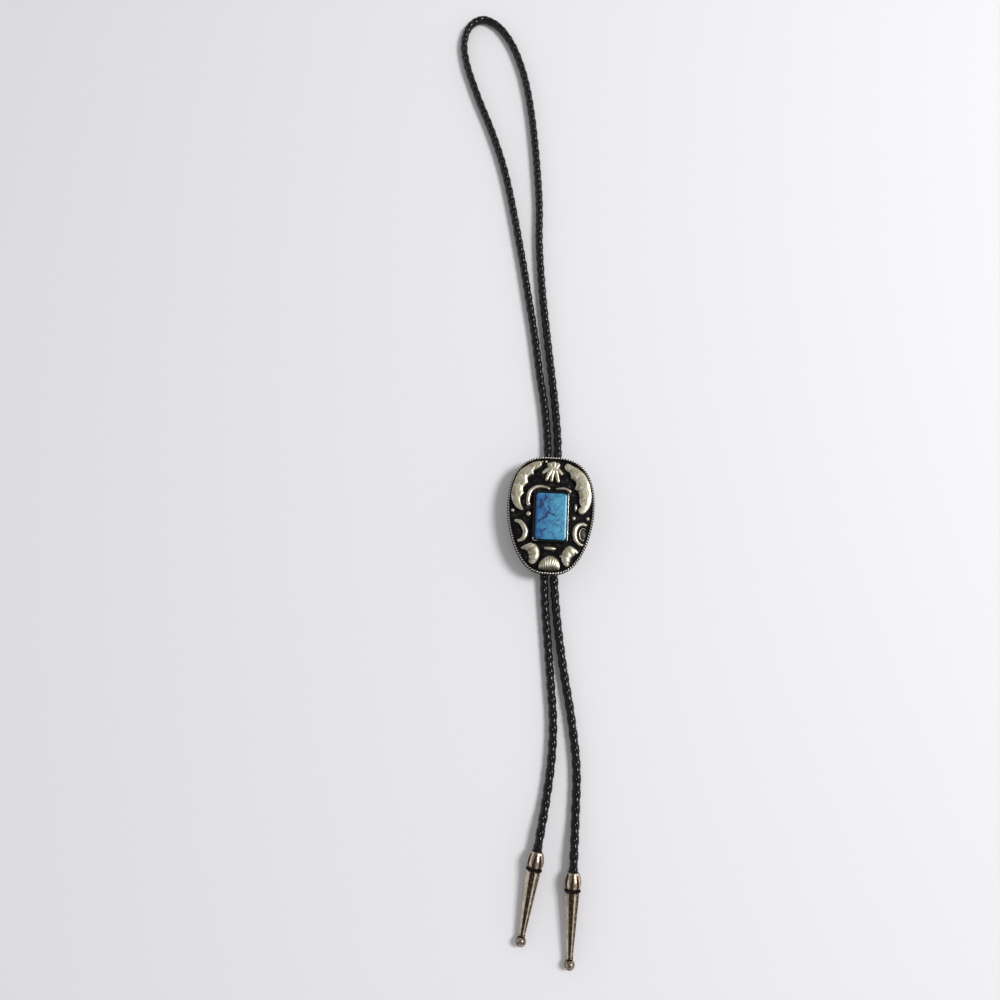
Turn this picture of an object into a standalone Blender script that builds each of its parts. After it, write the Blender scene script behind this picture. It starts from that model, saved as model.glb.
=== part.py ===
"""Bolo tie: a cast oval slide with a blue stone, on a braided cord that ends in two metal tips.

Metres, +Z up. The origin is on the flat back of the cord clip, under the middle of the slide.
+X runs to the right across the slide and +Y up the slide, towards the loop of the cord.
"""

import math

import bmesh
import bpy
from mathutils import Matrix, Vector

# The cord and the room around it
CORD_DIAMETER = 0.0044
CORD_CLEARANCE = 0.0003
CORD_END_GAP = 0.0004
SEAT_GAP = 0.0003

# The hidden clip on the back, which grips both strands
CLIP_WALL = 0.0010
CLIP_CHEEK = 0.0030
CLIP_LENGTH = 0.0260
CLIP_CORNER = 0.0022
CLIP_CORNER_STEPS = 4
CHANNEL_ROUNDING = 0.96
CHANNEL_STEPS = 6
STRAND_SPACING = 0.0048

# The slide: a flange that carries the twisted wire, and the field inside it
SLIDE_WIDTH = 0.0441
SLIDE_LENGTH = 0.0605
SLIDE_EGG_SHARE = 0.13
SLIDE_SQUARENESS = 0.71
FLANGE_THICKNESS = 0.0010
FLANGE_INSET = 0.00014
FIELD_RISE = 0.0010
WIRE_DIAMETER = 0.0014
WIRE_TWIST = 0.0024
WIRE_LOBE = 0.17
WIRE_STEPS = 4
OUTLINE_POINTS = 96
FINE_OUTLINE_POINTS = 720

# The stone and the box bezel around it
STONE_WIDTH = 0.0158
STONE_LENGTH = 0.0236
STONE_HEIGHT = 0.0036
STONE_BEVEL = 0.0010
STONE_CORNER = 0.0009
STONE_DROP = 0.0013
BEZEL_WALL = 0.0006
BEZEL_HEIGHT = 0.0026

# Heights and widths of the cast relief
WING_HEIGHT = 0.0020
PALMETTE_HEIGHT = 0.0018
SCROLL_WIDTH = 0.0024
SCROLL_HEIGHT = 0.0014
CRESCENT_WIDTH = 0.0032
CRESCENT_HEIGHT = 0.0017
SHELL_HEIGHT = 0.0022
BEAD_HEIGHT = 0.0009
RELIEF_EDGE = 0.0004
RELIEF_SINK = 0.0001
RELIEF_FOOT = 0.3
LOBE_END_REACH = 0.6
LOBE_END_WIDTH = 0.4

# The tips
TIP_LENGTH = 0.0412
SOCKET_DEPTH = 0.0060
BUD_LENGTH = 0.0072
BUD_WALL = 0.0003
BUD_BULGE = 0.0012
RING_RADIUS = 0.0037
RING_LENGTH = 0.0013
RING_SHOULDER = 0.2
TAPER_TOP_RADIUS = 0.0034
TAPER_NECK = 0.93
TAPER_SHOULDER = 0.3
TAPER_END_RADIUS = 0.0015
BALL_RADIUS = 0.0024
BALL_NECK = 0.8
BALL_STEPS = 6
TIP_PETALS = 8
PETAL_STEPS = 3
PETAL_GROOVE = 0.08
GROOVE_WIDTH = 0.1

# The bud's outline: how far down it each point is, and its share of the full bulge
BUD_BELLY = 0.62
BUD_OUTLINE = (
    (0.00, 0.00), (0.14, 0.34), (0.32, 0.70), (0.48, 0.93), (BUD_BELLY, 1.00), (0.78, 0.90), (0.92, 0.62), (1.00, 0.40),
)

# Where each tip's mouth is, and how far it leans from straight down, in degrees
TIPS = {
    "tip_left": (0.0000, -0.1576, 8.5),
    "tip_right": (0.0168, -0.1655, 0.5),
}

# The cord's route from the left tip, up through the clip, round the loop and back to the right tip:
# x, y, and how high its underside is above the surface
ROUTE = (
    (0.0010, -0.1510, 0.0018),
    (0.0034, -0.1350, 0.0002),
    (0.0052, -0.1170, 0.0000),
    (0.0053, -0.1000, 0.0000),
    (0.0036, -0.0830, 0.0000),
    (0.0012, -0.0615, 0.0000),
    (-0.0010, -0.0415, 0.0001),
    (-0.0024, -0.0160, 0.0013),
    (-0.0024, 0.0160, 0.0013),
    (-0.0024, 0.0360, 0.0001),
    (-0.0044, 0.0555, 0.0000),
    (-0.0085, 0.0790, 0.0000),
    (-0.0121, 0.1010, 0.0000),
    (-0.0165, 0.1240, 0.0000),
    (-0.0212, 0.1480, 0.0000),
    (-0.0326, 0.1985, 0.0000),
    (-0.0412, 0.2245, 0.0000),
    (-0.0520, 0.2512, 0.0000),
    (-0.0598, 0.2740, 0.0000),
    (-0.0618, 0.2880, 0.0000),
    (-0.0588, 0.2996, 0.0000),
    (-0.0518, 0.3044, 0.0000),
    (-0.0434, 0.3010, 0.0000),
    (-0.0349, 0.2904, 0.0000),
    (-0.0270, 0.2720, 0.0000),
    (-0.0205, 0.2450, 0.0000),
    (-0.0130, 0.1850, 0.0000),
    (-0.0116, 0.1550, 0.0000),
    (-0.0086, 0.1250, 0.0000),
    (-0.0053, 0.1010, 0.0000),
    (0.0012, 0.0555, 0.0000),
    (0.0029, 0.0360, 0.0001),
    (0.0024, 0.0160, 0.0013),
    (0.0024, -0.0160, 0.0013),
    (0.0043, -0.0415, 0.0001),
    (0.0087, -0.0710, 0.0000),
    (0.0141, -0.0985, 0.0000),
    (0.0172, -0.1210, 0.0000),
    (0.0173, -0.1420, 0.0002),
    (0.0170, -0.1575, 0.0017),
)
ROUTE_STEPS = 2

# Outlines of the cast relief: across and along, as shares of the slide's half width and half length
LEFT_WING = (
    (-0.34, 0.92), (-0.43, 0.91), (-0.57, 0.86), (-0.70, 0.785), (-0.82, 0.68), (-0.885, 0.56),
    (-0.91, 0.43), (-0.91, 0.29), (-0.89, 0.19), (-0.83, 0.12), (-0.74, 0.075), (-0.65, 0.09),
    (-0.67, 0.14), (-0.71, 0.20), (-0.71, 0.28), (-0.65, 0.34), (-0.66, 0.46), (-0.57, 0.53),
    (-0.56, 0.61), (-0.45, 0.65), (-0.45, 0.71), (-0.40, 0.77), (-0.29, 0.81), (-0.25, 0.86),
)
RIGHT_WING = (
    (0.27, 0.82), (0.31, 0.77), (0.37, 0.74), (0.42, 0.69), (0.42, 0.63), (0.49, 0.60),
    (0.54, 0.54), (0.54, 0.48), (0.60, 0.43), (0.64, 0.36), (0.62, 0.29), (0.64, 0.23),
    (0.63, 0.15), (0.60, 0.08), (0.65, 0.04), (0.74, 0.03), (0.83, 0.07), (0.88, 0.16),
    (0.905, 0.29), (0.895, 0.46), (0.83, 0.61), (0.72, 0.72), (0.60, 0.79), (0.47, 0.86), (0.35, 0.88),
)
LEFT_SHELL = (
    (-0.67, -0.53), (-0.60, -0.50), (-0.44, -0.49), (-0.31, -0.53), (-0.25, -0.62), (-0.27, -0.72),
    (-0.35, -0.81), (-0.44, -0.84), (-0.49, -0.79), (-0.51, -0.68), (-0.57, -0.60), (-0.66, -0.57),
)
RIGHT_SHELL = (
    (0.33, -0.55), (0.42, -0.50), (0.55, -0.52), (0.65, -0.60), (0.58, -0.64), (0.50, -0.69),
    (0.45, -0.76), (0.43, -0.84), (0.36, -0.81), (0.29, -0.72), (0.28, -0.62),
)
FOOT_SHELL = (
    (-0.23, -0.93), (-0.24, -0.85), (-0.18, -0.77), (-0.08, -0.71), (0.05, -0.70), (0.16, -0.76),
    (0.22, -0.85), (0.22, -0.93), (0.11, -0.905), (0.00, -0.90), (-0.11, -0.905),
)

# Bands: across, along, and the width as a share of the band's full width
LEFT_SCROLL = (
    (-0.04, 0.43, 0.45), (-0.13, 0.465, 0.60), (-0.23, 0.475, 0.75), (-0.36, 0.465, 0.85),
    (-0.46, 0.43, 0.95), (-0.53, 0.37, 1.00), (-0.56, 0.29, 1.00), (-0.55, 0.21, 0.90), (-0.51, 0.14, 0.60),
)
RIGHT_SCROLL = (
    (0.08, 0.425, 0.40), (0.19, 0.45, 0.60), (0.30, 0.445, 0.75), (0.39, 0.425, 0.80), (0.44, 0.385, 0.60),
)
LEFT_CRESCENT = (
    (-0.84, -0.125, 0.55), (-0.73, -0.12, 0.80), (-0.63, -0.18, 0.95), (-0.58, -0.28, 1.00),
    (-0.60, -0.37, 0.90), (-0.67, -0.43, 0.75), (-0.76, -0.45, 0.45),
)
RIGHT_CRESCENT = (
    (0.83, -0.14, 0.50), (0.73, -0.125, 0.75), (0.62, -0.18, 0.95), (0.56, -0.28, 1.00),
    (0.57, -0.38, 0.85), (0.64, -0.455, 0.65), (0.72, -0.475, 0.40),
)

# Lobes of the palmette: the root, the end, and the half width at each, as shares of the half width
PALMETTE_LOBES = (
    (0.02, 0.76, -0.10, 0.90, 0.06, 0.07),
    (0.02, 0.76, 0.02, 0.91, 0.06, 0.08),
    (0.02, 0.76, 0.14, 0.90, 0.06, 0.07),
    (0.00, 0.80, -0.22, 0.73, 0.06, 0.03),
    (0.04, 0.80, 0.21, 0.725, 0.06, 0.03),
    (-0.02, 0.79, -0.14, 0.59, 0.055, 0.035),
    (0.02, 0.79, -0.01, 0.585, 0.055, 0.035),
    (0.06, 0.79, 0.145, 0.585, 0.055, 0.035),
)

# Beads: across, along, half width, half length (as shares of the half width) and the turn in degrees
BEADS = (
    (-0.86, 0.04, 0.040, 0.035, 0.0),
    (-0.52, 0.01, 0.065, 0.042, 20.0),
    (0.525, -0.05, 0.048, 0.042, 0.0),
    (0.845, -0.04, 0.040, 0.038, 0.0),
    (0.55, 0.14, 0.036, 0.080, 0.0),
    (0.25, -0.68, 0.032, 0.055, 10.0),
    (-0.27, 0.905, 0.024, 0.024, 0.0),
    (-0.17, 0.915, 0.024, 0.024, 0.0),
    (0.00, -0.55, 0.140, 0.032, 0.0),
    (0.73, -0.30, 0.105, 0.150, 0.0),
)

# Heights of the stack above the surface that the tie lies on
CORD_RADIUS = CORD_DIAMETER / 2.0
CHANNEL_RADIUS = CORD_RADIUS + CORD_CLEARANCE
CLIP_HEIGHT = 2.0 * (CHANNEL_RADIUS + CLIP_WALL)
PLATE_BASE = CLIP_HEIGHT + SEAT_GAP
FLANGE_TOP = PLATE_BASE + FLANGE_THICKNESS
FIELD_TOP = FLANGE_TOP + FIELD_RISE
CUTTER_TOP = FIELD_TOP + 2.0 * BEZEL_HEIGHT
HALF_WIDTH = SLIDE_WIDTH / 2.0
HALF_LENGTH = SLIDE_LENGTH / 2.0

# Colours, roughness and metallic value of each material
FINISHES = {
    "nickel_silver": ((0.50, 0.47, 0.40), 0.35, 1.0),
    "blue_stone": ((0.05, 0.26, 0.49), 0.30, 0.0),
    "dark_wire": ((0.22, 0.20, 0.17), 0.45, 1.0),
    "clip_steel": ((0.55, 0.55, 0.54), 0.40, 1.0),
    "black_leather": ((0.010, 0.010, 0.012), 0.35, 0.0),
}


def clear_scene():
    """Remove every object, so that the model starts from an empty scene."""
    for item in list(bpy.data.objects):
        bpy.data.objects.remove(item, do_unlink=True)


def new_collection(name):
    """Make a collection in the scene."""
    made = bpy.data.collections.new(name)
    bpy.context.scene.collection.children.link(made)
    return made


def material(name):
    """Give the named material, making it the first time."""
    found = bpy.data.materials.get(name)
    if found:
        return found
    colour, roughness, metallic = FINISHES[name]
    made = bpy.data.materials.new(name)
    made.use_nodes = True
    shader = made.node_tree.nodes["Principled BSDF"]
    shader.inputs["Base Color"].default_value = (*colour, 1.0)
    shader.inputs["Roughness"].default_value = roughness
    shader.inputs["Metallic"].default_value = metallic
    return made


def mesh_object(name, mesh, collection, finish=None):
    """Link a mesh as a named object, with a finish if it is a piece of the tie."""
    made = bpy.data.objects.new(name, mesh)
    collection.objects.link(made)
    if finish:
        mesh.materials.append(material(finish))
    return made


def bmesh_object(name, shape, collection, finish=None):
    """Turn a bmesh into a named object."""
    mesh = bpy.data.meshes.new(name)
    shape.to_mesh(mesh)
    shape.free()
    return mesh_object(name, mesh, collection, finish)


def hide_guide(item):
    """Mark an object as a cutter or a shape that another one takes in."""
    item.hide_render = True
    item.display_type = "WIRE"


def smooth(item, angle=math.radians(40.0)):
    """Shade a round piece smooth, with its sharp edges kept."""
    item.data.shade_smooth()
    item.data.set_sharp_from_angle(angle=angle)


def curve_to_mesh(item, collection):
    """Replace a curve object by a welded mesh of what it evaluates to."""
    bpy.context.view_layer.update()
    graph = bpy.context.evaluated_depsgraph_get()
    mesh = bpy.data.meshes.new_from_object(item.evaluated_get(graph))
    name = item.name
    placed = item.matrix_world.copy()
    bpy.data.objects.remove(item, do_unlink=True)
    shape = bmesh.new()
    shape.from_mesh(mesh)
    bmesh.ops.remove_doubles(shape, verts=shape.verts, dist=1e-6)
    bmesh.ops.recalc_face_normals(shape, faces=shape.faces)
    shape.to_mesh(mesh)
    shape.free()
    made = mesh_object(name, mesh, collection)
    made.matrix_world = placed
    return made


def smooth_curve(points, steps, closed=False):
    """Read points from a smooth curve through the given ones: centripetal Catmull-Rom."""
    given = [Vector(p) for p in points]
    if closed:
        padded = [given[-1]] + given + given[:2]
    else:
        padded = [2.0 * given[0] - given[1]] + given + [2.0 * given[-1] - given[-2]]
    curve = []
    for before, start, end, after in zip(padded, padded[1:], padded[2:], padded[3:]):
        knot_1 = math.sqrt((start - before).length)
        knot_2 = knot_1 + math.sqrt((end - start).length)
        knot_3 = knot_2 + math.sqrt((after - end).length)
        for step in range(steps):
            t = knot_1 + (knot_2 - knot_1) * step / steps
            low = before.lerp(start, t / knot_1)
            middle = start.lerp(end, (t - knot_1) / (knot_2 - knot_1))
            high = end.lerp(after, (t - knot_2) / (knot_3 - knot_2))
            first = low.lerp(middle, t / knot_2)
            second = middle.lerp(high, (t - knot_1) / (knot_3 - knot_1))
            curve.append(first.lerp(second, (t - knot_1) / (knot_2 - knot_1)))
    if not closed:
        curve.append(given[-1])
    return curve


def tube(name, points, radius, collection, sides_level=2, widths=None, cyclic=False):
    """A wire or tube along points: a poly curve with a bevel depth and filled caps."""
    data = bpy.data.curves.new(name, "CURVE")
    data.dimensions = "3D"
    data.bevel_depth = radius
    data.bevel_resolution = sides_level
    data.use_fill_caps = True
    spline = data.splines.new("POLY")
    spline.points.add(len(points) - 1)
    for index, (target, point) in enumerate(zip(spline.points, points)):
        target.co = (point[0], point[1], point[2], 1.0)
        if widths:
            target.radius = widths[index]
    spline.use_cyclic_u = cyclic
    made = bpy.data.objects.new(name, data)
    collection.objects.link(made)
    return made


def egg_points(count, inset):
    """Even points on the slide's outline, moved inwards by inset. It is wider towards the loop."""
    def raw(angle):
        cosine = math.cos(angle)
        across = math.copysign(abs(cosine) ** SLIDE_SQUARENESS, cosine)
        return Vector((across * (1.0 + SLIDE_EGG_SHARE * math.sin(angle)), math.sin(angle), 0.0))

    turns = [2.0 * math.pi * (i + 0.5) / FINE_OUTLINE_POINTS for i in range(FINE_OUTLINE_POINTS)]
    widest = max(raw(turn).x for turn in turns)
    outline = [Vector((raw(t).x / widest * HALF_WIDTH, raw(t).y * HALF_LENGTH, 0.0)) for t in turns]
    moved = []
    for before, point, after in zip([outline[-1]] + outline[:-1], outline, outline[1:] + outline[:1]):
        along = (after - before).normalized()
        moved.append(point + inset * Vector((-along.y, along.x, 0.0)))
    return even_points(moved, count)


def even_points(loop, count):
    """Walk round a closed loop of points and give count points at an even distance."""
    ring = loop + loop[:1]
    lengths = [(b - a).length for a, b in zip(ring, ring[1:])]
    total = sum(lengths)
    found = []
    walked = 0.0
    index = 0
    for step in range(count):
        target = total * step / count
        while walked + lengths[index] < target:
            walked += lengths[index]
            index += 1
        share = (target - walked) / lengths[index]
        found.append(ring[index].lerp(ring[index + 1], share))
    return found


def loop_length(loop):
    """The length round a closed loop of points."""
    return sum((b - a).length for a, b in zip(loop, loop[1:] + loop[:1]))


def slab(name, outline, low, high, collection, edge=0.0, hole=None):
    """A flat outline, with a hole or without, raised from low to high, its edges rounded by edge."""
    data = bpy.data.curves.new(name, "CURVE")
    data.dimensions = "2D"
    data.fill_mode = "BOTH"
    data.extrude = (high - low) / 2.0 - edge
    data.bevel_depth = edge
    data.bevel_resolution = 1
    data.offset = -edge
    for loop in filter(None, (outline, hole)):
        spline = data.splines.new("POLY")
        spline.points.add(len(loop) - 1)
        for target, point in zip(spline.points, loop):
            target.co = (point[0], point[1], 0.0, 1.0)
        spline.use_cyclic_u = True
    made = bpy.data.objects.new(name, data)
    collection.objects.link(made)
    made.location.z = (low + high) / 2.0
    return curve_to_mesh(made, collection)


def on_slide(across, along, height=0.0):
    """A point of the slide from its shares of the half width and half length."""
    return Vector((across * HALF_WIDTH, along * HALF_LENGTH, height))


def raised_shape(name, shares, height, guides):
    """A piece of cast relief with an outline, its foot sunk into the plate."""
    outline = smooth_curve([on_slide(*share) for share in shares], 2, closed=True)
    sunk = FLANGE_TOP + RELIEF_FOOT * FIELD_RISE
    made = slab(name, outline, sunk, FIELD_TOP + height, guides, RELIEF_EDGE)
    hide_guide(made)


def raised_band(name, rows, width, height, guides):
    """A band of cast relief, half round, that swells and tapers along its path."""
    path = smooth_curve([on_slide(across, along) for across, along, share in rows], 2)
    shares = [share for across, along, share in rows]
    widths = []
    for first, second in zip(shares, shares[1:]):
        widths += [first, (first + second) / 2.0]
    widths.append(shares[-1])
    band = curve_to_mesh(tube(name, path, width / 2.0, guides, 1, widths), guides)
    band.data.transform(Matrix.Diagonal((1.0, 1.0, 2.0 * height / width, 1.0)))
    band.location.z = FIELD_TOP - RELIEF_SINK
    hide_guide(band)


def raised_lobe(name, row, guides):
    """One lobe of the palmette: a round finger from its root to its end."""
    root_x, root_y, end_x, end_y, root_share, end_share = row
    root = on_slide(root_x, root_y)
    end = on_slide(end_x, end_y)
    widest = max(root_share, end_share)
    beyond = (end - root).normalized() * end_share * HALF_WIDTH * LOBE_END_REACH
    path = [root, root.lerp(end, 0.5), end, end + beyond]
    middle_share = (root_share + end_share) / 2.0
    widths = [share / widest for share in (root_share, middle_share, end_share, end_share * LOBE_END_WIDTH)]
    lobe = curve_to_mesh(tube(name, path, widest * HALF_WIDTH, guides, 1, widths), guides)
    lobe.data.transform(Matrix.Diagonal((1.0, 1.0, PALMETTE_HEIGHT / (widest * HALF_WIDTH), 1.0)))
    lobe.location.z = FIELD_TOP - RELIEF_SINK
    hide_guide(lobe)


def raised_bead(name, row, guides):
    """A bead, bar or low dome of cast relief, sunk to its middle."""
    across, along, half_width, half_length, turn = row
    shape = bmesh.new()
    bmesh.ops.create_uvsphere(shape, u_segments=12, v_segments=8, radius=1.0)
    size = Matrix.Diagonal((half_width * HALF_WIDTH, half_length * HALF_WIDTH, BEAD_HEIGHT, 1.0))
    spun = Matrix.Rotation(math.radians(turn), 4, "Z")
    placed = Matrix.Translation(on_slide(across, along, FIELD_TOP - RELIEF_SINK))
    bmesh.ops.transform(shape, matrix=placed @ spun @ size, verts=shape.verts)
    hide_guide(bmesh_object(name, shape, guides))


def block(name, width, length, low, high, collection, corner=0.0, axis="Z", segments=3):
    """A box with the edges along one axis rounded."""
    shape = bmesh.new()
    bmesh.ops.create_cube(shape, size=1.0)
    size = Matrix.Diagonal((width, length, high - low, 1.0))
    placed = Matrix.Translation((0.0, 0.0, (low + high) / 2.0))
    bmesh.ops.transform(shape, matrix=placed @ size, verts=shape.verts)
    if corner:
        column = "XYZ".index(axis)
        others = [index for index in range(3) if index != column]
        edges = [
            edge for edge in shape.edges if all(edge.verts[0].co[i] == edge.verts[1].co[i] for i in others)
        ]
        bmesh.ops.bevel(
            shape, geom=edges, offset=corner, segments=segments, profile=0.5, affect="EDGES", clamp_overlap=True
        )
    return bmesh_object(name, shape, collection)


def boolean(item, operation, other=None, collection=None):
    """Cut an object by another, or join a whole collection to it."""
    change = item.modifiers.new(operation.lower(), "BOOLEAN")
    change.operation = operation
    change.solver = "EXACT"
    if collection:
        change.operand_type = "COLLECTION"
        change.collection = collection
    else:
        change.object = other


def make_clip(tie, guides):
    """The clip: a flat block with one flattened channel through it for both strands."""
    channel_width = STRAND_SPACING + 2.0 * CHANNEL_RADIUS
    outer_width = channel_width + 2.0 * CLIP_CHEEK
    clip = block(
        "cord_clip", outer_width, CLIP_LENGTH, 0.0, CLIP_HEIGHT, tie, CLIP_CORNER, "Y", CLIP_CORNER_STEPS
    )
    clip.data.materials.append(material("clip_steel"))
    low = CLIP_WALL
    high = CLIP_HEIGHT - CLIP_WALL
    cut_length = CLIP_LENGTH + 2.0 * CLIP_HEIGHT
    rounding = CHANNEL_RADIUS * CHANNEL_ROUNDING
    channel = block("channel_cutter", channel_width, cut_length, low, high, guides, rounding, "Y", CHANNEL_STEPS)
    hide_guide(channel)
    boolean(clip, "DIFFERENCE", channel)
    smooth(clip)


def stone_outline(grow, corner):
    """The stone's plan, grown by a margin on every side, with its corners cut by one facet each."""
    across = STONE_WIDTH / 2.0 + grow
    along = STONE_LENGTH / 2.0 + grow
    signs = ((1, 1), (-1, 1), (-1, -1), (1, -1))
    points = []
    for sign_x, sign_y in signs:
        near_x = Vector((sign_x * across, sign_y * (along - corner) - STONE_DROP, 0.0))
        near_y = Vector((sign_x * (across - corner), sign_y * along - STONE_DROP, 0.0))
        points += [near_x, near_y] if sign_x * sign_y > 0 else [near_y, near_x]
    return points


def make_stone(tie):
    """The stone: a flat table with a bevel facet on each side and at each cut corner."""
    low = FIELD_TOP
    shape = bmesh.new()
    girdle = [shape.verts.new(p + Vector((0, 0, low))) for p in stone_outline(0.0, STONE_CORNER)]
    base = shape.faces.new(girdle)
    bmesh.ops.recalc_face_normals(shape, faces=[base])
    raised = bmesh.ops.extrude_face_region(shape, geom=[base])
    top = [part for part in raised["geom"] if isinstance(part, bmesh.types.BMVert)]
    bmesh.ops.translate(shape, verts=top, vec=(0.0, 0.0, STONE_HEIGHT))
    bmesh.ops.recalc_face_normals(shape, faces=shape.faces)
    crown = [e for e in shape.edges if all(v.co.z > low + STONE_HEIGHT / 2.0 for v in e.verts)]
    bmesh.ops.bevel(shape, geom=crown, offset=STONE_BEVEL, segments=1, profile=0.5, affect="EDGES")
    return bmesh_object("blue_stone", shape, tie, "blue_stone")


def make_casting(tie, guides, relief):
    """The slide: flange, field, box bezel and all the relief, joined into one cast piece."""
    flange = slab("slide_casting", egg_points(OUTLINE_POINTS, FLANGE_INSET), PLATE_BASE, FLANGE_TOP, tie)
    flange.data.materials.append(material("nickel_silver"))
    field_inset = WIRE_DIAMETER + SEAT_GAP
    field_outline = egg_points(OUTLINE_POINTS, field_inset)
    hide_guide(slab("field", field_outline, PLATE_BASE + 0.5 * FLANGE_THICKNESS, FIELD_TOP, relief))

    bezel_margin = SEAT_GAP + BEZEL_WALL
    bezel = slab(
        "bezel",
        stone_outline(bezel_margin, STONE_CORNER + bezel_margin * 0.5),
        FLANGE_TOP,
        FIELD_TOP + BEZEL_HEIGHT,
        relief,
    )
    hide_guide(bezel)
    for name, shares, height in (
        ("left_wing", LEFT_WING, WING_HEIGHT),
        ("right_wing", RIGHT_WING, WING_HEIGHT),
        ("left_shell", LEFT_SHELL, SHELL_HEIGHT),
        ("right_shell", RIGHT_SHELL, SHELL_HEIGHT),
        ("foot_shell", FOOT_SHELL, SHELL_HEIGHT),
    ):
        raised_shape(name, shares, height, relief)
    for name, rows, width, height in (
        ("left_scroll", LEFT_SCROLL, SCROLL_WIDTH, SCROLL_HEIGHT),
        ("right_scroll", RIGHT_SCROLL, SCROLL_WIDTH, SCROLL_HEIGHT),
        ("left_crescent", LEFT_CRESCENT, CRESCENT_WIDTH, CRESCENT_HEIGHT),
        ("right_crescent", RIGHT_CRESCENT, CRESCENT_WIDTH, CRESCENT_HEIGHT),
    ):
        raised_band(name, rows, width, height, relief)
    for number, row in enumerate(PALMETTE_LOBES):
        raised_lobe(f"palmette_lobe_{number}", row, relief)
    for number, row in enumerate(BEADS):
        raised_bead(f"bead_{number}", row, relief)
    boolean(flange, "UNION", collection=relief)

    pocket = slab(
        "stone_pocket",
        stone_outline(SEAT_GAP, STONE_CORNER),
        FIELD_TOP - SEAT_GAP,
        CUTTER_TOP,
        guides,
    )
    hide_guide(pocket)
    boolean(flange, "DIFFERENCE", pocket)

    rim = slab(
        "wire_rebate",
        egg_points(OUTLINE_POINTS, -2.0 * WIRE_DIAMETER),
        FLANGE_TOP + RELIEF_SINK,
        CUTTER_TOP,
        guides,
        hole=egg_points(OUTLINE_POINTS, field_inset - RELIEF_SINK),
    )
    hide_guide(rim)
    boolean(flange, "DIFFERENCE", rim)
    smooth(flange)


def make_wire(tie):
    """The twisted wire round the edge: a two-lobed section that turns as it goes round."""
    middle = egg_points(FINE_OUTLINE_POINTS, WIRE_DIAMETER / 2.0)
    turns = round(loop_length(middle) / WIRE_TWIST)
    path = even_points(middle, turns * WIRE_STEPS)
    height = FLANGE_TOP + SEAT_GAP + WIRE_DIAMETER / 2.0
    sides = 6
    shape = bmesh.new()
    rings = []
    for index, point in enumerate(path):
        ahead = path[(index + 1) % len(path)]
        along = (ahead - path[index - 1]).normalized()
        outwards = Vector((along.y, -along.x, 0.0))
        turned = 2.0 * math.pi * index / WIRE_STEPS
        ring = []
        for side in range(sides):
            angle = 2.0 * math.pi * side / sides
            radius = WIRE_DIAMETER / 2.0 * (1.0 - WIRE_LOBE + WIRE_LOBE * math.cos(2.0 * (angle - turned)))
            offset = outwards * math.cos(angle) + Vector((0.0, 0.0, 1.0)) * math.sin(angle)
            ring.append(shape.verts.new(point + Vector((0.0, 0.0, height)) + offset * radius))
        rings.append(ring)
    for first, second in zip(rings, rings[1:] + rings[:1]):
        for side in range(sides):
            after = (side + 1) % sides
            shape.faces.new((first[side], second[side], second[after], first[after]))
    bmesh.ops.recalc_face_normals(shape, faces=shape.faces)
    smooth(bmesh_object("rope_border", shape, tie, "dark_wire"))


def tip_profile():
    """Points down the tip's section, from the bottom of its socket over the mouth to the ball's end.

    Each has its distance below the mouth and its radius.
    """
    neck = CHANNEL_RADIUS + BUD_WALL
    points = [(SOCKET_DEPTH, 0.0), (SOCKET_DEPTH, CHANNEL_RADIUS), (0.0, CHANNEL_RADIUS)]
    for down_share, bulge_share in BUD_OUTLINE:
        points.append((BUD_LENGTH * down_share, neck + BUD_BULGE * bulge_share))
    points.append((BUD_LENGTH + RING_LENGTH * RING_SHOULDER, RING_RADIUS))
    points.append((BUD_LENGTH + RING_LENGTH * (1.0 - RING_SHOULDER), RING_RADIUS))
    points.append((BUD_LENGTH + RING_LENGTH, TAPER_TOP_RADIUS * TAPER_NECK))
    points.append((BUD_LENGTH + RING_LENGTH * (1.0 + TAPER_SHOULDER), TAPER_TOP_RADIUS))
    ball_centre = TIP_LENGTH - BALL_RADIUS
    neck_angle = math.asin(TAPER_END_RADIUS * BALL_NECK / BALL_RADIUS)
    ball_start = ball_centre - BALL_RADIUS * math.cos(neck_angle)
    points.append((ball_start - TAPER_END_RADIUS / 2.0, TAPER_END_RADIUS))
    for step in range(BALL_STEPS):
        angle = neck_angle + (math.pi - neck_angle) * step / BALL_STEPS
        points.append((ball_centre - BALL_RADIUS * math.cos(angle), BALL_RADIUS * math.sin(angle)))
    points.append((TIP_LENGTH, 0.0))
    return points


def belly_depth():
    """How far below the mouth the bud is widest."""
    return BUD_LENGTH * BUD_BELLY


def tip_slope():
    """The angle of a tip that rests on its bud and its ball."""
    bud_radius = CHANNEL_RADIUS + BUD_WALL + BUD_BULGE
    return math.asin((bud_radius - BALL_RADIUS) / (TIP_LENGTH - BALL_RADIUS - belly_depth()))


def tip_axis(name):
    """Where a tip's mouth is, and the way from the mouth to the ball."""
    mouth_x, mouth_y, lean = TIPS[name]
    slope = tip_slope()
    bud_radius = CHANNEL_RADIUS + BUD_WALL + BUD_BULGE
    height = bud_radius / math.cos(slope) + belly_depth() * math.sin(slope)
    flat = Vector((-math.sin(math.radians(lean)), -math.cos(math.radians(lean)), 0.0))
    down = flat * math.cos(slope) - Vector((0.0, 0.0, math.sin(slope)))
    return Vector((mouth_x, mouth_y, height)), down


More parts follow.
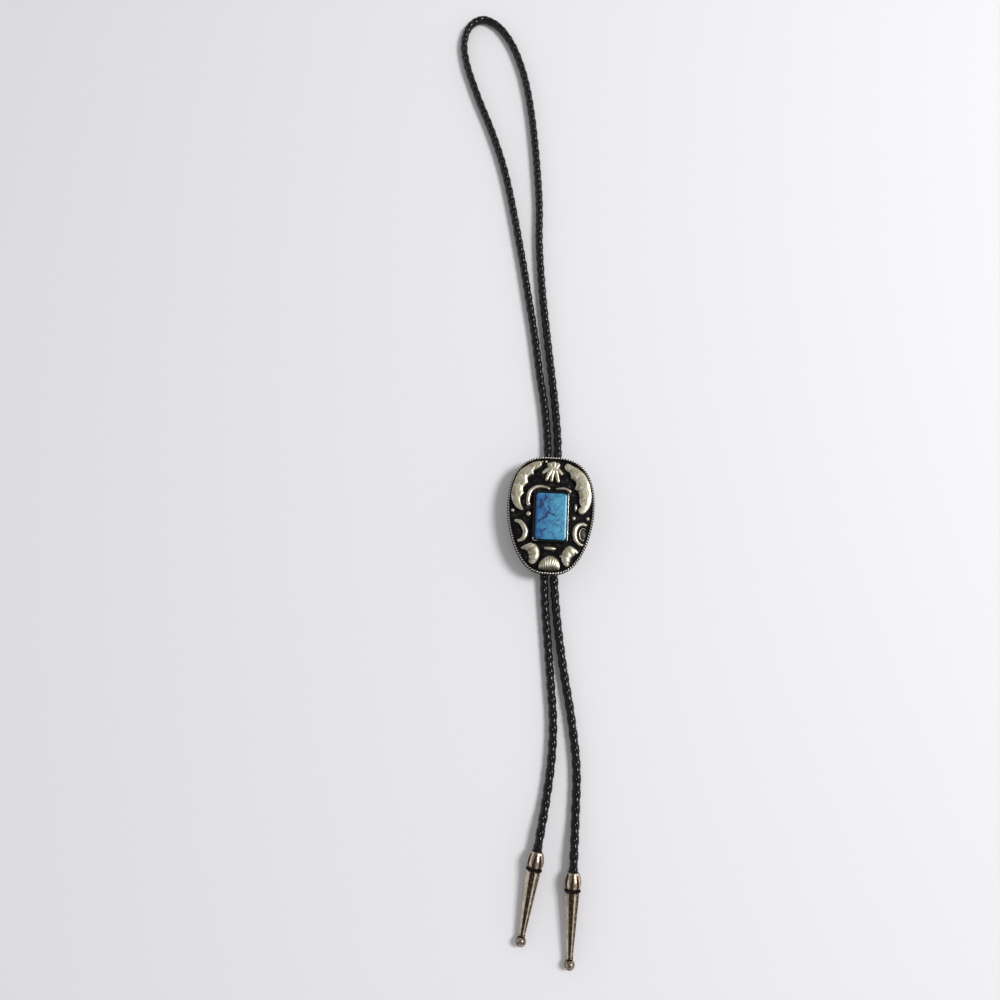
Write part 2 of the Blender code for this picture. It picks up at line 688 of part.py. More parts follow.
def make_tip(name, tie):
    """A tip: a turned profile with petals pressed into the bud and flats on the taper."""
    mesh = bpy.data.meshes.new(f"{name}_profile")
    points = tip_profile()
    edges = [(i, i + 1) for i in range(len(points) - 1)]
    mesh.from_pydata([(radius, 0.0, -down) for down, radius in points], edges, [])
    tip = mesh_object(name, mesh, tie)
    steps = TIP_PETALS * PETAL_STEPS
    turned = tip.modifiers.new("turned", "SCREW")
    turned.angle = 2.0 * math.pi
    turned.steps = steps
    turned.render_steps = steps
    turned.use_merge_vertices = True
    turned.merge_threshold = 1e-6
    bpy.context.view_layer.update()
    graph = bpy.context.evaluated_depsgraph_get()
    solid = bpy.data.meshes.new_from_object(tip.evaluated_get(graph))
    tip.modifiers.clear()
    tip.data = solid

    taper_start = BUD_LENGTH + RING_LENGTH
    taper_end = TIP_LENGTH - 2.0 * BALL_RADIUS
    petal = 2.0 * math.pi / TIP_PETALS
    for vertex in solid.vertices:
        down = -vertex.co.z
        in_socket = down < SOCKET_DEPTH + BUD_WALL and math.hypot(*vertex.co.xy) < CHANNEL_RADIUS + BUD_WALL / 2.0
        if in_socket:
            continue
        angle = math.atan2(vertex.co.y, vertex.co.x) % petal
        factor = 1.0
        if down < BUD_LENGTH and min(angle, petal - angle) < petal * GROOVE_WIDTH:
            factor = 1.0 - PETAL_GROOVE * math.sin(math.pi * max(0.0, down) / BUD_LENGTH)
        elif taper_start < down < taper_end:
            factor = math.cos(petal / 2.0) / math.cos(angle - petal / 2.0)
        vertex.co.x *= factor
        vertex.co.y *= factor

    mouth, down = tip_axis(name)
    tip.rotation_mode = "QUATERNION"
    tip.rotation_quaternion = (-down).to_track_quat("Z", "Y")
    tip.location = mouth
    tip.data.materials.append(material("nickel_silver"))
    smooth(tip)


def make_cord(tie):
    """The cord: one tube from inside the left tip's socket to inside the right tip's."""
    ends = []
    for name in ("tip_left", "tip_right"):
        mouth, down = tip_axis(name)
        ends.append(mouth + down * (SOCKET_DEPTH - CORD_END_GAP))
    middle = [Vector((x, y, lift + CORD_RADIUS)) for x, y, lift in ROUTE]
    path = smooth_curve([ends[0]] + middle + [ends[1]], ROUTE_STEPS)
    for point in path:
        point.z = max(point.z, CORD_RADIUS)
    cord = tube("cord", path, CORD_RADIUS, tie, 2)
    cord.data.materials.append(material("black_leather"))


def main():
    """Build every piece of the bolo tie."""
    clear_scene()
    tie = new_collection("bolo_tie")
    guides = new_collection("cutters")
    relief = new_collection("relief_guides")
    make_clip(tie, guides)
    make_casting(tie, guides, relief)
    make_wire(tie)
    make_stone(tie)
    make_cord(tie)
    for name in TIPS:
        make_tip(name, tie)


main()
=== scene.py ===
"""Bolo tie, dressed: a cast slide with a blue stone, on a braided leather cord with two metal tips.

Metres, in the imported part's own frame. The origin is on the flat back of the cord clip. +X runs
across the slide, +Y up it towards the loop of the cord, and +Z out of its face.
"""

import logging
import math
from dataclasses import dataclass, field
from enum import Enum
from typing import Callable, NamedTuple, Sequence

import bmesh
import bpy
import numpy as np
from mathutils import Matrix, Vector


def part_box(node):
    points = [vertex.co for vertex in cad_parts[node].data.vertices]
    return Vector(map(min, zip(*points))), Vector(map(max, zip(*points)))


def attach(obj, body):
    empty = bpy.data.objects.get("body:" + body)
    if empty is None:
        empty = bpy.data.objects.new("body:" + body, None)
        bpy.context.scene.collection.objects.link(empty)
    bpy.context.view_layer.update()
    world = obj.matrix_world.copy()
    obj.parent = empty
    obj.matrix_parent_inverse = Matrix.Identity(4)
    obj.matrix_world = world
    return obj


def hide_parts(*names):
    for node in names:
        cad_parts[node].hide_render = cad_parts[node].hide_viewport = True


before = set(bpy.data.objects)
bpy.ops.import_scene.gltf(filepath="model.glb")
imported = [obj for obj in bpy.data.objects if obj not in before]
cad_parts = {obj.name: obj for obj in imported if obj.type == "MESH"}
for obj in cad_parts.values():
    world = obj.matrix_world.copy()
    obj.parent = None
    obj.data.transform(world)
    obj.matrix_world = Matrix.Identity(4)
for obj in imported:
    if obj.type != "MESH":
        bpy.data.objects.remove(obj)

MM = 0.001
BODY = "root"
WEAR = "wear"
MERGE = 1e-6
CREASE = math.radians(40.0)
FULL_TURN = 2.0 * math.pi
UP = np.array([0.0, 0.0, 1.0])
LOG = logging.getLogger("bolo_tie")

Form = bmesh.types.BMesh
Socket = bpy.types.NodeSocket
Colour = tuple[float, float, float]
Span = tuple[float, float]
Rows = Sequence[Sequence[float]]


class Hand(Enum):
    """Which way a lace winds."""

    LEFT = -1
    RIGHT = 1


class Surface(NamedTuple):
    """Where the points of a sheet lie, and how rubbed each one is, from 0 in a hollow to 1 on a crest; on some
    sheets this also holds painted shade.
    """

    spots: np.ndarray
    wear: np.ndarray


Mapping = Callable[[np.ndarray, np.ndarray], Surface]


def smooth_curve(points: Rows, steps: int) -> np.ndarray:
    """Read points from a centripetal Catmull-Rom curve through the given ones.

    Args:
        points: the points that the curve passes, in two or three dimensions.
        steps: how many stretches to cut each span into.

    Returns:
        The curve's points, one a row.
    """
    given = np.asarray(points, dtype=float)
    padded = np.vstack([2.0 * given[0] - given[1], given, 2.0 * given[-1] - given[-2]])
    curve = []
    for before, start, end, after in zip(padded, padded[1:], padded[2:], padded[3:]):
        knot_1 = math.sqrt(np.linalg.norm(start - before))
        knot_2 = knot_1 + math.sqrt(np.linalg.norm(end - start))
        knot_3 = knot_2 + math.sqrt(np.linalg.norm(after - end))
        for step in range(steps):
            t = knot_1 + (knot_2 - knot_1) * step / steps
            low = before + (start - before) * t / knot_1
            middle = start + (end - start) * (t - knot_1) / (knot_2 - knot_1)
            high = end + (after - end) * (t - knot_2) / (knot_3 - knot_2)
            first = low + (middle - low) * t / knot_2
            second = middle + (high - middle) * (t - knot_1) / (knot_3 - knot_1)
            curve.append(first + (second - first) * (t - knot_1) / (knot_2 - knot_1))
    curve.append(given[-1])
    return np.array(curve)


def reach_of(line: np.ndarray) -> np.ndarray:
    """How far along a line each of its points is."""
    return np.concatenate([[0.0], np.cumsum(np.linalg.norm(np.diff(line, axis=0), axis=1))])


def read_line(line: np.ndarray, reach: np.ndarray, walked: np.ndarray) -> np.ndarray:
    """The points of a line at these distances along it."""
    return np.stack([np.interp(walked, reach, column) for column in line.T], axis=-1)


def units(ways: np.ndarray) -> np.ndarray:
    """The same ways, each with a length of one."""
    return ways / np.linalg.norm(ways, axis=1, keepdims=True)


@dataclass
class Track:
    """A smooth curve that is read by shares of its length, from 0 at the start to 1 at the end."""

    points: Rows
    steps: int = 12
    spots: np.ndarray = field(init=False)
    reach: np.ndarray = field(init=False)

    def __post_init__(self) -> None:
        """Draw the curve and measure it."""
        self.spots = smooth_curve(self.points, self.steps)
        self.measure()

    def measure(self) -> None:
        """Work out how far along the curve each of its points is."""
        self.reach = reach_of(self.spots)

    @property
    def length(self) -> float:
        """The curve's length."""
        return float(self.reach[-1])

    def at(self, shares: np.ndarray) -> np.ndarray:
        """The points at these shares of the length."""
        return read_line(self.spots, self.reach, np.clip(shares, 0.0, 1.0) * self.length)

    def heading(self, shares: np.ndarray, stride: float = 0.0015) -> np.ndarray:
        """The way that the curve runs at these shares, each taken over a stride of twice this share."""
        return units(self.at(shares + stride) - self.at(shares - stride))


def in_metres(rows: Rows) -> list[tuple[float, float]]:
    """The first two numbers of each row, from millimetres."""
    return [(x * MM, y * MM) for x, y, *_ in rows]


def dome(across: np.ndarray, fullness: float = 2.0) -> np.ndarray:
    """How high a rounded section stands: 0 at both edges and 1 in the middle.

    Args:
        across: from 0 at one edge to 1 at the other.
        fullness: 2 for half an ellipse, more for a flatter top with steeper sides.

    Returns:
        The share of the full height at each place.
    """
    off_middle = np.clip(np.abs(2.0 * across - 1.0), 0.0, 1.0)
    return (1.0 - off_middle**fullness) ** (1.0 / fullness)


def crowd_edges(across: np.ndarray) -> np.ndarray:
    """Crowd even steps towards both edges, where a rounded section is steepest."""
    return (1.0 - np.cos(math.pi * across)) / 2.0


def ease(value: np.ndarray | float, low: float, high: float) -> np.ndarray | float:
    """Rise smoothly from 0 at low to 1 at high."""
    share = np.clip((value - low) / (high - low), 0.0, 1.0)
    return share * share * (3.0 - 2.0 * share)


def mapped_grid(columns: int, rows: int, place: Mapping) -> Form:
    """Make a grid and lay it on a surface.

    Args:
        columns: how many faces the grid has along the surface.
        rows: how many faces it has across.
        place: gives the surface from the shares along and across.

    Returns:
        The form, with its wear on its points and its doubles merged.
    """
    form = bmesh.new()
    bmesh.ops.create_grid(form, x_segments=columns, y_segments=rows, size=0.5)
    shares = np.array([vert.co[:2] for vert in form.verts]) + 0.5
    surface = place(shares[:, 0], shares[:, 1])
    layer = form.verts.layers.float.new(WEAR)
    for vert, spot, worn in zip(form.verts, surface.spots, surface.wear):
        vert.co = spot
        vert[layer] = worn
    bmesh.ops.remove_doubles(form, verts=form.verts, dist=MERGE)
    return form


def points_among(parts: Sequence[object]) -> list[bmesh.types.BMVert]:
    """The points among a form's parts."""
    return [part for part in parts if isinstance(part, bmesh.types.BMVert)]


def close_holes(form: Form) -> None:
    """Close every open edge loop of a form with a face."""
    bmesh.ops.holes_fill(form, edges=[edge for edge in form.edges if edge.is_boundary], sides=0)


def close_foot(form: Form, level: float) -> None:
    """Carry a sheet's open edge straight down to a level, and close it there."""
    rim = [edge for edge in form.edges if edge.is_boundary]
    for vert in points_among(bmesh.ops.extrude_edge_only(form, edges=rim)["geom"]):
        vert.co.z = level
    close_holes(form)


def pull_faces(form: Form, faces: Sequence[bmesh.types.BMFace], rise: float) -> list[bmesh.types.BMFace]:
    """Pull faces straight up out of a form, or down into it, and give the faces that moved."""
    pulled = bmesh.ops.extrude_face_region(form, geom=faces)["geom"]
    bmesh.ops.translate(form, verts=points_among(pulled), vec=(0.0, 0.0, rise))
    return [part for part in pulled if isinstance(part, bmesh.types.BMFace)]


def bevel(
    form: Form, edges: Sequence[bmesh.types.BMEdge], width: float, segments: int, profile: float = 0.5
) -> None:
    """Bevel some edges of a form."""
    bmesh.ops.bevel(
        form, geom=edges, offset=width, segments=segments, profile=profile, affect="EDGES", material=-1
    )


def slice_up(form: Form, low: Vector, high: Vector, cell: float, least_rise: float, slack: float) -> None:
    """Cut a form into even strips both ways.

    Args:
        form: the form.
        low: the lowest corner of the block that the strips divide.
        high: its highest corner.
        cell: about how wide a strip is.
        least_rise: only faces whose normals rise more than this are cut.
        slack: how near a cut a point counts as on it.
    """
    for axis, way in enumerate((Vector((1.0, 0.0, 0.0)), Vector((0.0, 1.0, 0.0)))):
        count = round((high[axis] - low[axis]) / cell)
        for step in range(1, count):
            facing = [face for face in form.faces if face.normal.z > least_rise]
            parts = dict.fromkeys(part for face in facing for part in (face, *face.edges, *face.verts))
            cut = low + way * (high[axis] - low[axis]) * step / count
            bmesh.ops.bisect_plane(form, geom=list(parts), dist=slack, plane_co=cut, plane_no=way)


def cut_block(low: Vector, high: Vector, corner: float, segments: int) -> Form:
    """A block with its upright edges bevelled.

    Args:
        low: its lowest corner.
        high: its highest corner.
        corner: how wide each bevel is.
        segments: how many faces each bevel has.

    Returns:
        The block's form.
    """
    form = bmesh.new()
    bmesh.ops.create_cube(form, size=1.0)
    size = high - low
    placed = Matrix.Translation((low + high) / 2.0) @ Matrix.Diagonal((*size, 1.0))
    bmesh.ops.transform(form, matrix=placed, verts=form.verts)
    upright = [edge for edge in form.edges if abs(edge.verts[0].co.z - edge.verts[1].co.z) > size.z / 2.0]
    bevel(form, upright, corner, segments)
    return form


def mesh_of(form: Form, name: str) -> bpy.types.Mesh:
    """Turn a form into a mesh, and free it."""
    mesh = bpy.data.meshes.new(name)
    form.to_mesh(mesh)
    form.free()
    return mesh


def join_forms(forms: Sequence[Form]) -> Form:
    """Put several forms into one, with their wear kept."""
    whole = bmesh.new()
    whole.verts.layers.float.new(WEAR)
    for form in forms:
        part = mesh_of(form, "part")
        whole.from_mesh(part)
        bpy.data.meshes.remove(part)
    return whole


def set_wear(form: Form, worn: Callable[[Vector], float]) -> None:
    """Give each point of a form its wear, from where it is; on the bezel this holds painted highlights, and on
    the stone its veins and painted shade.
    """
    layer = form.verts.layers.float.get(WEAR) or form.verts.layers.float.new(WEAR)
    for vert in form.verts:
        vert[layer] = worn(vert.co)


def show(name: str, data: bpy.types.ID) -> bpy.types.Object:
    """Put a mesh, a lamp or a camera into the scene."""
    shown = bpy.data.objects.new(name, data)
    bpy.context.scene.collection.objects.link(shown)
    return shown


class NodeBench:
    """Adds nodes to one tree and wires them."""

    def __init__(self, tree: bpy.types.NodeTree) -> None:
        """Keep the tree that the nodes go into."""
        self.tree = tree

    def add(self, kind: str, values: dict[str, object] | None = None, **settings: object) -> bpy.types.Node:
        """Add a node.

        Args:
            kind: the node's type, without the words that every shader node's type starts with.
            values: what each named socket holds: a constant, or an output to wire to it.
            settings: the node's own options.

        Returns:
            The new node.
        """
        node = self.tree.nodes.new(f"ShaderNode{kind}")
        for name, value in settings.items():
            setattr(node, name, value)
        self.fill(node, values or {})
        return node

    def fill(self, node: bpy.types.Node, values: dict[str, object]) -> None:
        """Give each named socket of a node what it holds."""
        for name, value in values.items():
            self.feed(node.inputs[name], value)

    def feed(self, socket: Socket, value: object) -> None:
        """Wire an output to a socket, or set the socket to a constant."""
        if isinstance(value, Socket):
            self.tree.links.new(value, socket)
        elif isinstance(value, tuple) and socket.type == "RGBA":
            socket.default_value = (*value, 1.0)
        else:
            socket.default_value = value

    def math(self, operation: str, *values: object) -> Socket:
        """Work out one sum of two or three values and give its output."""
        node = self.add("Math", operation=operation)
        for socket, value in zip(node.inputs, values):
            self.feed(socket, value)
        return node.outputs[0]

    def span(self, value: object, low: object, high: object, start: float = 0.0, end: float = 1.0) -> Socket:
        """Carry a value smoothly from the span low to high over to the span start to end."""
        held = {"Value": value, "From Min": low, "From Max": high, "To Min": start, "To Max": end}
        return self.add("MapRange", held, interpolation_type="SMOOTHSTEP").outputs["Result"]

    def blend(self, share: object, first: object, second: object) -> Socket:
        """Blend two colours and give the output."""
        node = self.add("Mix", data_type="RGBA", clamp_factor=True)
        for index, value in ((0, share), (6, first), (7, second)):
            self.feed(node.inputs[index], value)
        return node.outputs[2]

    def object_place(self) -> Socket:
        """The place of each point in its piece's own coordinates."""
        return self.add("TexCoord").outputs["Object"]

    def noise(self, scale: object, detail: float = 3.0, place: Socket | None = None) -> Socket:
        """Uneven values round a half, with features of one over scale metres."""
        values = {"Vector": place or self.object_place(), "Scale": scale, "Detail": detail, "Roughness": 0.6}
        return self.add("TexNoise", values).outputs["Fac"]

    def wear(self) -> Socket:
        """How rubbed the mesh is at each point, and on some pieces also painted shade, painted highlights and
        the stone's veins.
        """
        return self.add("Attribute", attribute_name=WEAR, attribute_type="GEOMETRY").outputs["Fac"]

    def bump(self, height: Socket, depth: float, strength: float = 1.0) -> Socket:
        """A bump from a height, this many millimetres deep."""
        values = {"Height": height, "Distance": depth * MM, "Strength": strength}
        return self.add("Bump", values).outputs["Normal"]


def effect_group(
    name: str, inputs: dict[str, float], outputs: Sequence[str], build: Callable[..., dict[str, Socket]]
) -> bpy.types.NodeTree:
    """Find or make a shader node group with plain value sockets.

    Args:
        name: the group's name.
        inputs: the name of each input and its usual value.
        outputs: the names of the outputs.
        build: adds the nodes, from a bench and the inputs, and gives what each output holds.

    Returns:
        The group.
    """
    group = bpy.data.node_groups.get(name)
    if group is None:
        group = bpy.data.node_groups.new(name, "ShaderNodeTree")
        for label, usual in inputs.items():
            socket = group.interface.new_socket(name=label, in_out="INPUT", socket_type="NodeSocketFloat")
            socket.default_value = usual
        for label in outputs:
            group.interface.new_socket(name=label, in_out="OUTPUT", socket_type="NodeSocketFloat")
        bench = NodeBench(group)
        results = build(bench, group.nodes.new("NodeGroupInput").outputs)
        bench.fill(group.nodes.new("NodeGroupOutput"), results)
    return group


def tarnish(bench: NodeBench, values: dict[str, object]) -> Socket:
    """Add the effect that turns wear into a mask of clean metal, with an uneven border and stray spots."""

    def build(inside: NodeBench, given: dict[str, Socket]) -> dict[str, Socket]:
        patches = inside.math("SUBTRACT", inside.noise(given["Patch Scale"], 4.0), 0.5)
        pushed = inside.math("MULTIPLY_ADD", patches, given["Unevenness"], given["Wear"])
        low = inside.math("SUBTRACT", given["Border"], given["Softness"])
        high = inside.math("ADD", given["Border"], given["Softness"])
        return {"Clean": inside.span(pushed, low, high)}

    inputs = {"Wear": 0.5, "Border": 0.45, "Softness": 0.2, "Patch Scale": 900.0, "Unevenness": 0.35}
    group = effect_group("tarnish", inputs, ("Clean",), build)
    return bench.add("Group", values, node_tree=group).outputs["Clean"]


def grain(bench: NodeBench, fine: float, coarse: float) -> tuple[Socket, Socket]:
    """Add the effect for fine grain, and give its height for a bump and its mask of the same unevenness."""

    def build(inside: NodeBench, given: dict[str, Socket]) -> dict[str, Socket]:
        small = inside.math("MULTIPLY", inside.noise(given["Fine Scale"], 3.0), 0.4)
        large = inside.noise(given["Coarse Scale"], 4.0)
        height = inside.math("MULTIPLY_ADD", large, 0.6, small)
        return {"Height": height, "Mask": inside.span(large, 0.3, 0.7)}

    group = effect_group("grain", {"Fine Scale": 5000.0, "Coarse Scale": 700.0}, ("Height", "Mask"), build)
    results = bench.add("Group", {"Fine Scale": fine, "Coarse Scale": coarse}, node_tree=group).outputs
    return results["Height"], results["Mask"]


def new_material(name: str, look: Callable[[NodeBench], dict[str, object]]) -> bpy.types.Material:
    """Make a material whose shader's own sockets hold what the look gives."""
    made = bpy.data.materials.new(name)
    made.use_nodes = True
    bench = NodeBench(made.node_tree)
    bench.fill(made.node_tree.nodes["Principled BSDF"], look(bench))
    return made


@dataclass(frozen=True)
class Finish:
    """What every finish has: a name, and the record's slot that it takes the place of."""

    name: str
    slot: str

    def material(self) -> bpy.types.Material:
        """The finish's material, made the first time that it is asked for.

        A finish has another name than its slot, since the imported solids' own materials have the slots' names.
        """
        return bpy.data.materials.get(self.name) or new_material(self.name, self.look)

    def look(self, bench: NodeBench) -> dict[str, object]:
        """Add the nodes and say what the shader's sockets hold."""
        raise NotImplementedError


@dataclass(frozen=True)
class AgedMetal(Finish):
    """Metal that is bright where it is rubbed, and tarnished where it isn't; on some pieces the same mask also
    carries painted shade and painted highlights.
    """

    clean: Colour
    shade: Colour
    tarnish: Colour
    clean_roughness: float = 0.27
    tarnish_roughness: float = 0.55
    tarnish_metallic: float = 0.35
    border: float = 0.45
    softness: float = 0.20
    unevenness: float = 0.35
    patch_scale: float = 900.0
    shade_scale: float = 0.6
    grain_scale: float = 4500.0
    grain_depth: float = 0.02
    grain_shine: float = -0.06
    gloss: float = 0.5

    def look(self, bench: NodeBench) -> dict[str, object]:
        """Tarnish by wear, uneven tone, and cast grain."""
        values = {
            "Wear": bench.wear(), "Border": self.border, "Softness": self.softness,
            "Unevenness": self.unevenness, "Patch Scale": self.patch_scale,
        }
        clean = tarnish(bench, values)
        height, mask = grain(bench, self.grain_scale, self.patch_scale * self.shade_scale)
        rough = bench.span(clean, 0.0, 1.0, self.tarnish_roughness, self.clean_roughness)
        return {
            "Base Color": bench.blend(clean, self.tarnish, bench.blend(mask, self.shade, self.clean)),
            "Roughness": bench.math("MULTIPLY_ADD", mask, self.grain_shine, rough),
            "Metallic": bench.span(clean, 0.0, 1.0, self.tarnish_metallic, 1.0),
            "Specular IOR Level": self.gloss,
            "Normal": bench.bump(height, self.grain_depth),
        }


@dataclass(frozen=True)
class BlackenedField(Finish):
    """The slide's ground: pitted and black with oxide, with a little metal on its grains."""

    black: Colour = (0.0025, 0.0022, 0.0026)
    grains: Colour = (0.16, 0.14, 0.13)
    pit_scale: float = 2200.0
    pit_depth: float = 0.16
    patch_scale: float = 420.0
    gloss: float = 0.10

    def look(self, bench: NodeBench) -> dict[str, object]:
        """Round pits, with a few of their rims rubbed in patches."""
        pits = bench.add("TexVoronoi", {"Vector": bench.object_place(), "Scale": self.pit_scale})
        rims = bench.span(pits.outputs["Distance"], 0.40, 0.80)
        patches = bench.span(bench.noise(self.patch_scale), 0.50, 0.72, 0.0, 0.55)
        worn = bench.span(bench.wear(), 0.2, 1.0)
        shine = bench.math("MAXIMUM", bench.math("MULTIPLY", rims, patches), worn)
        return {
            "Base Color": bench.blend(shine, self.black, self.grains),
            "Roughness": bench.span(shine, 0.0, 1.0, 0.60, 0.38),
            "Metallic": bench.span(shine, 0.0, 0.8, 0.0, 0.9),
            "Specular IOR Level": self.gloss,
            "Normal": bench.bump(rims, self.pit_depth, 0.8),
        }


@dataclass(frozen=True)
class VeinedStone(Finish):
    """Polished opaque blue stone: mottled, with painted light that makes it paler to the right, navy veins,
    painted shade in the same navy along its left side, and a faint crackle.
    """

    deep: Colour = (0.015, 0.100, 0.270)
    body: Colour = (0.040, 0.228, 0.405)
    pale: Colour = (0.075, 0.335, 0.475)
    # Navy for the veins, and also for the painted shade along the stone's left side.
    vein: Colour = (0.004, 0.022, 0.090)
    cloud_scale: float = 300.0
    half_width: float = 8.0 * MM
    painted_light_drift: float = 0.24
    crackle_scale: float = 330.0
    crackle_bend: float = 1.2 * MM

    def look(self, bench: NodeBench) -> dict[str, object]:
        """Clouds, painted light that makes it paler on the right, a crackle, and the charted veins with the
        painted shade along the left side.
        """
        place = bench.object_place()
        across = bench.add("SeparateXYZ", {"Vector": place}).outputs["X"]
        # Painted light: paler towards the stone's right side, darker towards its left.
        painted_light_drift = bench.span(across, -self.half_width, self.half_width, -self.painted_light_drift, self.painted_light_drift)
        mottle_and_painted_light = bench.math("ADD", bench.noise(self.cloud_scale, 5.0), painted_light_drift)
        low = bench.blend(bench.span(mottle_and_painted_light, 0.22, 0.50), self.deep, self.body)
        tone = bench.blend(bench.span(mottle_and_painted_light, 0.50, 0.85), low, self.pale)
        ripple = bench.add("TexNoise", {"Vector": place, "Scale": 700.0}).outputs["Color"]
        small = bench.add("VectorMath", {"Vector": ripple, "Scale": self.crackle_bend}, operation="SCALE")
        bent = bench.add("VectorMath", {"Vector": place}, operation="ADD")
        bench.feed(bent.inputs[1], small.outputs[0])
        sizes = {"Vector": bent.outputs[0], "Scale": self.crackle_scale}
        cells = bench.add("TexVoronoi", sizes, feature="DISTANCE_TO_EDGE")
        crackle = bench.span(cells.outputs["Distance"], 0.0, 0.13, 0.62, 0.0)
        broken = bench.math("MULTIPLY", crackle, bench.span(bench.noise(240.0), 0.40, 0.56))
        # The veins, together with the painted shade along the stone's left side.
        veins = bench.math("MAXIMUM", bench.span(bench.wear(), 0.02, 0.90, 0.0, 0.95), broken)
        return {
            "Base Color": bench.blend(veins, tone, self.vein),
            "Roughness": bench.span(bench.noise(1500.0), 0.3, 0.7, 0.34, 0.46),
            "Coat Weight": 0.12,
            "Coat Roughness": 0.15,
            "Normal": bench.bump(bench.math("SUBTRACT", 1.0, veins), 0.02, 0.5),
        }


@dataclass(frozen=True)
class SatinMetal(Finish):
    """Plain metal with a drawn satin, as on the hidden clip."""

    bright: Colour = (0.56, 0.56, 0.55)
    dull: Colour = (0.38, 0.37, 0.36)
    stretch: tuple[float, float, float] = (1.0, 0.04, 1.0)

    def look(self, bench: NodeBench) -> dict[str, object]:
        """Long fine scratches, and dull patches."""
        drawn = bench.add("Mapping", {"Vector": bench.object_place(), "Scale": self.stretch})
        lines = bench.noise(9000.0, 2.0, drawn.outputs["Vector"])
        return {
            "Base Color": bench.blend(bench.span(bench.noise(350.0), 0.3, 0.7), self.dull, self.bright),
            "Roughness": bench.span(lines, 0.3, 0.7, 0.32, 0.48),
            "Metallic": 1.0,
            "Normal": bench.bump(lines, 0.01, 0.6),
        }


@dataclass(frozen=True)
class BlackLeather(Finish):
    """Glossy black braided leather: a fine grain, with its creases a little dull."""

    black: Colour = (0.0020, 0.0020, 0.0026)
    rubbed: Colour = (0.008, 0.008, 0.009)
    gloss: float = 0.04
    coat: float = 0.50
    coat_roughness: float = 0.12

    def look(self, bench: NodeBench) -> dict[str, object]:
        """Rubbed crests, leather grain and a gloss."""
        height, mask = grain(bench, 6500.0, 1500.0)
        crests = bench.math("MULTIPLY", bench.span(bench.wear(), 0.4, 1.0), mask)
        return {
            "Base Color": bench.blend(crests, self.black, self.rubbed),
            "Roughness": bench.span(mask, 0.0, 1.0, 0.36, 0.22),
            "Specular IOR Level": self.gloss,
            "Coat Weight": self.coat,
            "Coat Roughness": self.coat_roughness,
            "Normal": bench.bump(height, 0.03, 0.5),
        }


CAST_SILVER = AgedMetal(
    "nickel_silver", "cast_silver", clean=(0.74, 0.70, 0.59), shade=(0.38, 0.33, 0.22),
    tarnish=(0.020, 0.015, 0.009), clean_roughness=0.40, softness=0.30, patch_scale=650.0, unevenness=0.85,
)
BEZEL_SILVER = AgedMetal(
    "bezel_silver", "cast_silver", clean=(0.55, 0.54, 0.50), shade=(0.30, 0.29, 0.27),
    tarnish=(0.006, 0.005, 0.005), tarnish_metallic=0.0, gloss=0.2,
)
DARK_WIRE = AgedMetal(
    "blackened_wire", "dark_wire", clean=(0.96, 0.93, 0.86), shade=(0.80, 0.76, 0.67),
    tarnish=(0.005, 0.004, 0.004), tarnish_metallic=0.0, clean_roughness=0.42, border=0.50, softness=0.18,
    patch_scale=1600.0, gloss=0.15,
)
# Its tarnish colour also paints the dark reflection on the tips' top facets and the painted shade on the buds'
# lower ends.
TIP_METAL = AgedMetal(
    "tip_silver", "tip_metal", clean=(0.62, 0.57, 0.48), shade=(0.36, 0.30, 0.21),
    tarnish=(0.062, 0.031, 0.020), tarnish_metallic=0.85, tarnish_roughness=0.36, clean_roughness=0.30,
    patch_scale=750.0, unevenness=0.9,
)
FIELD_BLACK = BlackenedField("blackened_field", "cast_silver")
STONE_BLUE = VeinedStone("blue_stone", "stone")
CLIP_SATIN = SatinMetal("clip_satin", "clip_steel")
LEATHER = BlackLeather("black_leather", "leather")


def finish_piece(
    form: Form, name: str, finish: Finish, nodes: Sequence[str], crease: float = CREASE
) -> bpy.types.Object:
    """Turn a form into a named piece of the tie.

    Args:
        form: the finished form, which is freed.
        name: the piece's name.
        finish: its finish.
        nodes: the solids that it stands for.
        crease: the angle from which an edge is shaded sharp.

    Returns:
        The piece.
    """
    bmesh.ops.recalc_face_normals(form, faces=form.faces)
    mesh = mesh_of(form, name)
    mesh.shade_smooth()
    mesh.set_sharp_from_angle(angle=crease)
    mesh.materials.append(finish.material())
    piece = show(name, mesh)
    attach(piece, BODY)
    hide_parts(*nodes)
    LOG.info("%s: %d faces", name, len(mesh.polygons))
    return piece


